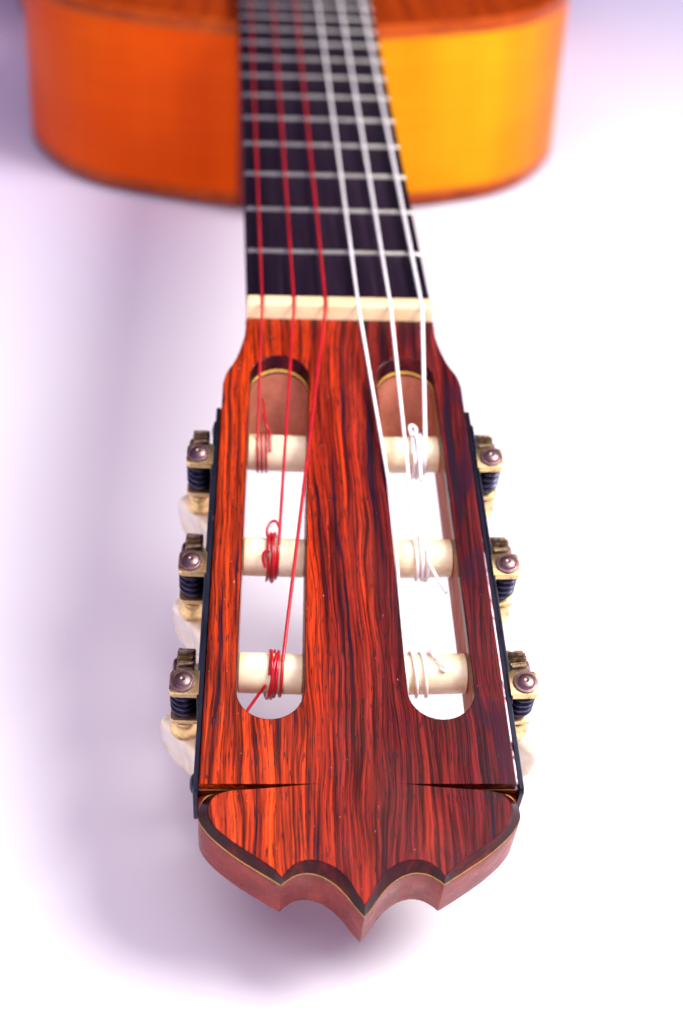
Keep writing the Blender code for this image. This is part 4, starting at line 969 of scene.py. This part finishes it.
def build_headstock():
    shape = bmesh.new()
    edge = [(0.0, 0.75, 0.25), (0.08, 0.42, 0.1), (0.3, 0.16, 0.0), (0.7, 0.03, 0.0), (1.2, 0.0, 0.0)]
    # The face's slot walls and the crown's sloping facets take the dark chamfer finish, which is partly painted
    # shade
    head_layer(shape, [*edge, (PLATE, 0.0, 0.0)], (0, 1), 1)
    face = ("cocobolo", "chamfer_painted_shade")
    add_piece("head_face_plate", shape, face, place=HEAD, replaces="head_plate", sharp=12)
    for name, low, high, finish, node in (
        ("head_yellow_veneer", ACCENT_LOW, PLATE, "veneer_yellow", "head_accent_veneer"),
        ("head_dark_veneer", DARK_LOW, ACCENT_LOW, "veneer_dark", None),
    ):
        shape = bmesh.new()
        head_layer(shape, [(high, 0.0, 0.0), (low, 0.0, 0.0)])
        add_piece(name, shape, finish, place=HEAD, replaces=node)
    shape = bmesh.new()
    bottom = HEAD_THICKNESS
    steps = [(DARK_LOW, 0.0, 0.0), (8.0, 0.0, 0.0), (bottom - 0.9, 0.0, 0.0), (bottom - 0.3, 0.15, 0.1),
             (bottom, 0.5, 0.4)]
    head_layer(shape, steps, (0, 1))
    add_piece("head_core", shape, ("mahogany", "raw_cedar"), place=HEAD, sharp=40)


# ---------------------------------------------------------------- tuning machines

def machine_frame(side, number):
    """Origin where the roller's axis meets the headstock's edge; X is the roller's axis, Z up the worm."""
    roller = JOINTS[f"{side}_roller_turn_{number}"]
    x = Vector(roller["axis"]).normalized()
    z = WORM_AXIS
    y = z.cross(x)
    origin = Vector(roller["pos_m"]) - SIDES[side] * GEAR_U * MM * x
    return Matrix.Translation(origin) @ Matrix((x, y, z)).transposed().to_4x4()


def add_machine_part(name, shape, finish, side, number, body=ROOT, shift=None, replaces=None, sharp=35):
    """Adds a part of one machine; shift first moves its shape within the machine's frame."""
    if shift is not None:
        bmesh.ops.transform(shape, matrix=shift, verts=shape.verts)
    node = f"{side}_{replaces}_{number}" if replaces else None
    add_piece(f"{side}_{name}_{number}", shape, finish, body, machine_frame(side, number), node, sharp)


def turned_outward(sign):
    """Lays a shape turned about Z along the roller's axis, with its top outward."""
    return Matrix.Rotation(sign * math.pi / 2, 4, "Y")


def on_worm(sign):
    return Matrix.Translation((sign * GEAR_U, -WORM_OFFSET, ROLLER_DEPTH))


def build_roller(side, sign, number, body):
    shape = bmesh.new()
    inner, outer = -RAIL - SLOT_WIDTH + 0.15, -RAIL - 0.15
    r = ROLLER_RADIUS
    profile = [
        (0, inner - 3.5), (3.4, inner - 3.5), (3.4, inner), (r - 0.3, inner), (r, inner + 0.3),
        (r, outer - 0.3), (r - 0.3, outer), (3.4, outer), (3.4, -0.3), (1.9, -0.3), (1.9, 3.3), (0, 3.3),
    ]
    lathe(shape, profile, 40)
    add_machine_part("string_roller", shape, "roller", side, number, body, turned_outward(sign), "roller")


def gear_tooth(phase):
    """Radius at a point of the tooth cycle, 0 and 1 being the middle of a tooth."""
    away = abs((phase + 0.5) % 1.0 - 0.5) * 2
    rise = min(1.0, max(0.0, (0.62 - away) / 0.34))
    return 4.15 + 1.35 * (rise * rise * (3 - 2 * rise))


def build_gear(side, sign, number, body):
    shape = bmesh.new()
    count, width = GEAR_TEETH * 10, 4.3
    lead = WORM_PITCH / (2 * math.pi * 2.9)

    def ring(x, shrink):
        twist = -sign * lead * (x - GEAR_U) / PITCH_RADIUS
        points = []
        for i in range(count):
            angle = 2 * math.pi * i / count + twist + math.pi
            radius = gear_tooth(i / 10) - shrink
            points.append((sign * x, radius * math.cos(angle), radius * math.sin(angle)))
        return points

    start, end = GEAR_U - width / 2 - 0.2, GEAR_U + width / 2 - 0.2
    rings = [ring(start, 0.3), ring(start + 0.3, 0.0)]
    rings += [ring(x, 0.0) for x in np.linspace(start + 0.3, end - 0.3, 5)[1:-1]]
    rings += [ring(end - 0.3, 0.0), ring(end, 0.3)]
    loft(shape, rings)
    add_machine_part("gear_wheel", shape, "dark_brass", side, number, body, replaces="gear", sharp=30)
    shape = bmesh.new()
    profile = ((0, -0.2), (3.1, -0.2), (3.2, 0.3), (2.9, 0.8), (2.0, 1.15), (0, 1.25))
    lathe(shape, [(radius, end + height) for radius, height in profile], 28)
    add_machine_part("gear_screw", shape, "steel", side, number, body, turned_outward(sign))


def build_worm(side, sign, number, body):
    """Threaded worm, its rivet head above the top lug and the waisted collar below."""
    shape = bmesh.new()
    angles = [2 * math.pi * i / 32 for i in range(32)]
    start, end = 2.5, 12.6

    def radius(angle, depth):
        phase = (ROLLER_DEPTH - depth) / WORM_PITCH - sign * (angle / (2 * math.pi) - 0.25)
        wave = (1 - math.cos(2 * math.pi * phase)) / 2
        fade = min(1.0, (depth - start) / 0.8, (end - depth) / 0.8)
        return 2.1 + 1.1 * min(1.0, 1.25 * wave ** 1.3) * max(0.0, fade)

    loft(shape, [
        [(radius(a, d) * math.cos(a), radius(a, d) * math.sin(a), -d) for a in angles]
        for d in np.linspace(start, end, 90)
    ])
    add_machine_part("worm", shape, "worm", side, number, body, on_worm(sign), "worm_shaft", 60)
    shape = bmesh.new()
    profile = [(1.4, -4.0), (1.4, 0.1), (2.9, 0.1), (3.0, 0.3), (2.9, 0.55), (2.45, 0.6), (2.3, 0.42),
               (2.2, 0.45), (2.1, 0.75), (1.75, 1.05), (1.2, 1.28), (0.6, 1.36), (0.42, 1.22), (0.0, 1.18)]
    lathe(shape, profile, 36)
    add_machine_part("rivet", shape, "steel", side, number, body, on_worm(sign))
    shape = bmesh.new()
    points = smooth_through(((2.1, -15.0), (3.25, -15.25), (3.4, -16.2), (2.9, -17.1), (2.45, -18.0),
                             (2.5, -19.0), (3.0, -19.9), (3.45, -21.0), (3.5, -22.2), (3.1, -23.1)), 3)
    lathe(shape, [(0, -12.5), (2.0, -12.5), *points, (1.2, -23.2), (1.2, -30.0), (0, -30.0)], 36)
    add_machine_part("collar", shape, "brass", side, number, body, on_worm(sign))


def build_button(side, sign, number, body):
    """An oval grip: thick at the stem, with two flat wings and a soft waist between their faces."""
    start, end, half = 23.0, 42.0, 9.0
    shape = bmesh.new()
    rings = []
    for i in range(29):
        t = (1 - math.cos(math.pi * i / 28)) / 2
        across = (1 - abs(2 * t - 1) ** 3.2) ** (1 / 2.4)
        close = (1 - abs(2 * t - 1) ** 5) ** 0.5
        width = max(0.3, half * across * (1.0 - 0.12 * t))
        thick = max(0.15, (2.3 + 1.0 * (1 - t) ** 2) * close)
        ring = []
        for j in range(44):
            a = 2 * math.pi * j / 44
            x = width * math.copysign(abs(math.cos(a)) ** 0.85, math.cos(a))
            waist = 1.0 - 0.25 * math.sin(math.pi * t) * (1 - (x / max(width, 1)) ** 2)
            y = thick * waist * math.copysign(abs(math.sin(a)) ** 0.7, math.sin(a))
            ring.append((x, y, -(start + (end - start) * t)))
        rings.append(ring)
    loft(shape, rings)
    turn = Matrix.Rotation(math.radians(BUTTON_TURNS[side][number - 1]), 4, "Z")
    add_machine_part("grip", shape, "pearl", side, number, body, on_worm(sign) @ turn, "button", 70)


def build_lugs(side, sign, number):
    """The two brass ears that hold one worm, bent out from the plate."""
    shape = bmesh.new()
    half, reach, corner = 3.25, 8.35, 1.3
    for top, bottom in ((0.0, 2.2), (12.9, 14.6)):
        def ear(grow, depth, sign=sign):
            near, far = 1.3, reach - grow
            loop = [(near, -half + grow), (far - corner, -half + grow)]
            loop += [(far - corner + corner * math.sin(t), -half + grow + corner * (1 - math.cos(t)))
                     for t in np.linspace(0, math.pi / 2, 7)[1:]]
            loop += [(x, -y) for x, y in reversed(loop)]
            return [(sign * x, y - WORM_OFFSET, ROLLER_DEPTH - depth) for x, y in loop]

        bevel = 0.22
        rings = [ear(bevel, top), ear(bevel * 0.3, top + bevel * 0.3), ear(0, top + bevel),
                 ear(0, bottom - bevel), ear(bevel * 0.3, bottom - bevel * 0.3), ear(bevel, bottom)]
        loft(shape, rings)
    add_machine_part("lugs", shape, "brass", side, number, sharp=30)


def build_plate(side, sign):
    """The black mounting plate: a flat strip, a raised rail along the machines and two dome screws."""
    shape = bmesh.new()
    edge = HEAD @ Matrix.Translation((sign * EDGE_START[0] * MM, -EDGE_START[1] * MM, 0))
    place = edge @ Matrix.Rotation(sign * EDGE_ANGLE, 4, "Z")

    def plate_ring(low, high, inset, u):
        loop = rounded_bar((low[0] + inset, low[1] + inset), (high[0] - inset, high[1] - inset), 1.4, 7)
        return [(sign * u, e, d) for e, d in loop]

    for low, high, start, end in (
        ((-PLATE_END, -15.4), (-PLATE_START, -0.8), 0.05, 1.3),
        ((-100.0, -14.8), (-13.0, -0.4), 1.1, 1.75),
    ):
        levels = ((0.25, start), (0.0, start + 0.2), (0.0, end - 0.2), (0.25, end))
        loft(shape, [plate_ring(low, high, inset, u) for inset, u in levels])
    add_piece(f"{side}_side_plate", shape, "black", place=place, replaces=f"{side}_machine_plate", sharp=30)
    shape = bmesh.new()
    for e in (-118.0, -10.6):
        first = len(shape.verts)
        lathe(shape, [(0, 1.1), (2.6, 1.1), (2.5, 1.5), (2.0, 2.0), (1.2, 2.35), (0.0, 2.45)], 24)
        turn = Matrix.Translation((0, e, -8.3)) @ turned_outward(sign)
        bmesh.ops.transform(shape, matrix=turn, verts=list(shape.verts)[first:])
    add_piece(f"{side}_plate_screws", shape, "black", place=place)


# ---------------------------------------------------------------- strings

def head_point(x, s, d):
    return HEAD @ (Vector((x, -s, -d)) * MM) / MM


def roller_s(number):
    return FIRST_ROLLER_S + ROLLER_SPACING * (number - 1)


def saddle_run(x, top):
    """A string's way over the saddle and through the tie block, and its turn back over the block."""
    y, base, end = SADDLE_Y, RIM_HIGH, BRIDGE_HIGH.y
    down = [(x, y - 0.8, top), (x, y + 0.7, top - 0.1), (x, y + 1.9, top - 0.9), (x, y + 6.0, base + 6.4),
            (x, y + 9.0, base + 5.5), (x, end + 0.6, base + 5.5)]
    back = [(x, end + 0.2, base + 5.4), (x + 0.2, end + 0.9, base + 7.0), (x + 0.5, end + 0.3, base + 9.2),
            (x + 0.9, end - 2, base + 9.7), (x + 1.3, y + 9.0, base + 9.7), (x + 1.0, y + 6.6, base + 9.0),
            (x + 0.2, y + 5.6, base + 7.6)]
    return down, back


def build_string(i):
    """The straight run from the top of the roller, over the nut and saddle, to the tie block."""
    radius, number = STRING_RADII[i], STRING_ROLLERS[i]
    x, nut_z = NUT_X[i], NUT_HIGH.z - 0.35
    down, back = saddle_run(SADDLE_SPREAD * (i - 2.5), SADDLE_HIGH.z + radius - 0.05)
    start = head_point(ROLLER_X[i], roller_s(number) + 0.3, ROLLER_DEPTH - ROLLER_RADIUS - radius + 0.02)
    bend = [head_point(*SLOT_BEND)] if i == 3 else []
    over_nut = [(x, FACE_Y - 0.5, nut_z - 0.25), (x, FACE_Y + 0.8, nut_z), (x, NUT_Y + 0.3, nut_z)]
    shape = bmesh.new()
    tube(shape, [start, *bend, *over_nut, *down], radius, 12)
    tube(shape, smooth_through(back, 4), radius, 12)
    side = "treble" if i < 3 else "bass"
    add_piece(f"{side}_string_{number}", shape, STRING_FINISH[side], replaces=f"string_{i + 1}", sharp=80)


def coil(x_start, x_end, turns, radius, start_angle=0.0, wobble=0.0, lift=0.0):
    """Points round the roller: angle 0 is its top and grows towards the tip; x runs along the roller."""
    count = max(8, int(abs(turns) * 24))
    points = []
    for i in range(count + 1):
        t = i / count
        angle = start_angle + 2 * math.pi * turns * t
        size = ROLLER_RADIUS + radius + lift * math.sin(math.pi * t)
        x = x_start + (x_end - x_start) * t + wobble * math.sin(angle * 1.5 + 5 * t)
        points.append((x, -size * math.sin(angle), size * math.cos(angle)))
    return points


def treble_windings():
    """Wire paths round each treble roller: (x on the headstock, towards the nut, up)."""
    return {
        1: [
            coil(-23.4, -19.9, 3.1, 0.38),
            smooth_through([(-19.9, -3.2, 4.6), (-20.1, 0.2, 5.9), (-20.4, 2.6, 6.1), (-21.3, 5.2, 6.4),
                            (-21.7, 8.0, 6.5), (-22.0, 11.0, 6.5), (-22.4, 13.6, 6.5)], 5),
            smooth_through([(-20.4, 2.4, 5.6), (-21.2, 4.2, 6.6), (-21.6, 6.4, 6.2), (-22.2, 8.4, 6.4)], 5),
        ],
        2: [
            coil(-17.9, -20.9, 2.1, 0.42),
            coil(-20.9, -18.6, 1.3, 0.8, 0.6, 0.35, 0.4),
            coil(-18.6, -20.2, 1.6, 1.1, 2.9, 0.3, 0.3),
            smooth_through([(-20.9, 2.6, 5.6), (-21.0, 4.6, 5.9), (-20.3, 6.4, 6.2), (-19.3, 7.1, 6.3),
                            (-18.5, 6.6, 6.2), (-18.0, 5.4, 6.0)], 6),
            smooth_through([(-20.9, -2.0, 5.9), (-21.7, -2.9, 5.6), (-21.8, -4.1, 4.6), (-21.2, -5.4, 3.0)], 5),
        ],
        3: [
            coil(-17.2, -18.4, 1.0, 0.46),
            coil(-18.4, -20.3, 1.1, 0.46, 0.0, 0.0, 0.2),
            coil(-18.7, -21.3, 0.5, 0.9, -0.4, 0.0, 0.3),
            coil(-20.0, -19.2, 0.9, 0.9, -0.7, 0.2, 0.2),
            smooth_through([(-21.2, -5.0, 2.6), (-22.6, -6.0, 0.4), (-24.4, -8.2, -1.2),
                            (-26.4, -11.2, -2.2)], 5),
        ],
    }


def bass_windings():
    """Wire paths round each bass roller: (x on the headstock, towards the nut, up)."""
    return {
        1: [
            coil(22.0, 18.4, 3.1, 0.6),
            coil(18.4, 20.6, 1.5, 1.3, 0.6, 0.3, 0.2),
            smooth_through([(18.4, 1.5, 6.5), (17.9, 3.6, 6.6), (18.3, 5.3, 6.0), (19.2, 5.6, 5.6),
                            (19.8, 4.2, 6.0), (19.6, 2.2, 6.7)], 5),
            smooth_through([(20.0, -3.6, 4.9), (20.1, -6.0, 4.0), (20.1, -8.6, 3.4), (20.2, -11.4, 3.0)], 4),
        ],
        2: [
            coil(17.3, 20.4, 2.15, 0.55),
            coil(20.4, 19.2, 0.9, 0.6, 0.9, 0.0, 0.3),
            smooth_through([(19.0, 2.6, 5.4), (18.3, 4.2, 5.7), (18.7, 5.6, 5.6), (19.6, 5.2, 5.4),
                            (19.8, 3.2, 5.4)], 5),
            smooth_through([(20.2, -4.0, 4.6), (21.4, -6.4, 3.4), (22.9, -9.4, 2.6), (24.4, -12.4, 2.2)], 5),
        ],
        3: [
            coil(12.5, 19.4, 2.9, 0.5),
            smooth_through([(19.2, 3.6, 4.6), (19.6, 2.0, 5.6), (20.6, 0.6, 5.9), (21.6, -0.6, 5.9),
                            (22.4, -1.6, 5.5), (22.0, -2.3, 5.2), (21.2, -1.6, 5.2), (21.7, -0.9, 4.6)], 6),
            smooth_through([(19.8, 2.6, 5.2), (19.9, 4.4, 5.6), (20.6, 4.9, 5.6), (21.0, 3.4, 5.7),
                            (20.8, 1.2, 5.8)], 5),
        ],
    }


def build_windings(side, sign, paths_by_roller):
    for number, paths in paths_by_roller.items():
        string = number - 1 if side == "treble" else 6 - number
        edge_x = EDGE_START[0] + (roller_s(number) - EDGE_START[1]) * math.tan(EDGE_ANGLE)
        shape = bmesh.new()
        for path in paths:
            tube(shape, [(x - sign * edge_x, y, z) for x, y, z in path], 0.9 * STRING_RADII[string], 8)
        body = f"{side}_roller_body_{number}"
        add_machine_part("winding", shape, STRING_FINISH[side], side, number, body, sharp=80)


# ---------------------------------------------------------------- stage

def build_floor():
    shape = bmesh.new()
    bmesh.ops.create_grid(shape, x_segments=1, y_segments=1, size=6.0)
    mesh = bpy.data.meshes.new("floor")
    shape.to_mesh(mesh)
    shape.free()
    paint = Paint("pale_floor", 0.7, shine=0.1)
    haze = paint.noise((0.8, 0.8, 0.8), 2)
    near = paint.ramp(haze, [(0.3, FLOOR_DARK), (0.7, FLOOR_PALE)])
    # Painted shade: the floor darkens to lavender further back and to the left, in place of the shadow and the
    # light's fall-off there
    away = paint.math("MULTIPLY_ADD", paint.axis("X"), -0.8, paint.math("ADD", paint.axis("Y"), 0.4))
    depth = paint.ramp(away, [(0.05, (1.0, 1.0, 1.0)), (0.4, FLOOR_MIDDLE_PAINTED_SHADE), (0.95, FLOOR_FAR_PAINTED_SHADE)])
    paint.set(base_color=paint.mix(1.0, near, depth, "MULTIPLY"))
    mesh.materials.append(paint.material)
    floor = bpy.data.objects.new("floor", mesh)
    floor.location.z = -0.0004
    bpy.context.scene.collection.objects.link(floor)


def add_light(name, place, target, size, power, colour, in_reflections):
    light = bpy.data.lights.new(name, "AREA")
    light.shape = "DISK"
    light.size = size
    light.energy = power
    light.color = colour
    lamp = bpy.data.objects.new(name, light)
    lamp.visible_glossy = in_reflections
    lamp.location = place
    lamp.rotation_euler = (Vector(target) - Vector(place)).to_track_quat("-Z", "Y").to_euler()
    bpy.context.scene.collection.objects.link(lamp)


def build_world():
    """Soft lavender light from all round, dim behind the body so that level surfaces stay deep in colour."""
    world = bpy.data.worlds.new("studio")
    world.use_nodes = True
    nodes, links = world.node_tree.nodes, world.node_tree.links
    direction = nodes.new("ShaderNodeTexCoord").outputs["Generated"]
    toward = nodes.new("ShaderNodeVectorMath")
    toward.operation = "DOT_PRODUCT"
    links.new(direction, toward.inputs[0])
    toward.inputs[1].default_value = Vector((0.0, 0.90, 0.44)).normalized()
    ramp = nodes.new("ShaderNodeValToRGB")
    links.new(toward.outputs["Value"], ramp.inputs["Fac"])
    ramp.color_ramp.elements[0].position, ramp.color_ramp.elements[1].position = 0.35, 0.85
    ramp.color_ramp.elements[0].color = (*SKY, 1.0)
    ramp.color_ramp.elements[1].color = (*SKY_BEHIND, 1.0)
    background = nodes["Background"]
    links.new(ramp.outputs["Color"], background.inputs["Color"])
    background.inputs["Strength"].default_value = 1.0
    bpy.context.scene.world = world


def build_lights():
    add_light("key", (0.85, -0.8, 1.15), (0.0, -0.45, 0.05), 0.75, KEY_POWER, (1.0, 0.97, 0.94), True)
    add_light("front", (-0.9, -2.2, 0.9), (0.0, -0.4, 0.05), 0.9, FRONT_POWER, (1.0, 0.86, 0.98), False)
    add_light("fill", (-0.2, -1.1, 1.7), (0.0, -0.55, 0.0), 1.6, FILL_POWER, (1.0, 0.90, 0.96), False)
    build_world()


def build_camera():
    yaw, pitch, roll = math.radians(4.499), math.radians(32.328), math.radians(3.072)
    forward = Vector((math.sin(yaw) * math.cos(pitch), math.cos(yaw) * math.cos(pitch), -math.sin(pitch)))
    level = Vector((math.cos(yaw), -math.sin(yaw), 0))
    above = level.cross(forward)
    right = math.cos(roll) * level + math.sin(roll) * above
    up = math.cos(roll) * above - math.sin(roll) * level
    data = bpy.data.cameras.new("camera")
    data.sensor_fit = "VERTICAL"
    data.sensor_height = 36.0
    data.lens = 54.41
    data.clip_start = 0.01
    data.dof.use_dof = True
    data.dof.aperture_fstop = 10.5
    focus = bpy.data.objects.new("focus", None)
    focus.location = head_point(0, 128, 0) * MM
    bpy.context.scene.collection.objects.link(focus)
    data.dof.focus_object = focus
    camera = bpy.data.objects.new("camera", data)
    place = Matrix((right, up, -forward)).transposed().to_4x4()
    place.translation = Vector((-0.028225, (-407.122 + NUT_Y) * MM, (187.357 + BOARD_TOP) * MM))
    camera.matrix_world = place
    bpy.context.scene.collection.objects.link(camera)
    bpy.context.scene.camera = camera
    bpy.context.scene.view_settings.view_transform = "Standard"


def repaint_inside():
    """The hidden woods keep their own solids and get a wood finish."""
    for node, piece in frame["nodes"].items():
        if piece.hide_render:
            continue
        material = MATERIALS["mahogany" if node == "tail_block" else "spruce"]
        for slot in piece.material_slots:
            slot.material = material


build_soundboard()
build_rims()
build_back()
build_bridge()
build_saddle()
build_fingerboard()
build_nut()
build_neck_shaft()
build_heel()
build_headstock()
for side, sign in SIDES.items():
    build_plate(side, sign)
    for number in NUMBERS:
        worm_body, roller_body = f"{side}_worm_{number}", f"{side}_roller_body_{number}"
        build_lugs(side, sign, number)
        build_roller(side, sign, number, roller_body)
        build_gear(side, sign, number, roller_body)
        build_worm(side, sign, number, worm_body)
        build_button(side, sign, number, worm_body)
for index in range(6):
    build_string(index)
build_windings("treble", SIDES["treble"], treble_windings())
build_windings("bass", SIDES["bass"], bass_windings())
repaint_inside()
build_floor()
build_lights()
build_camera()
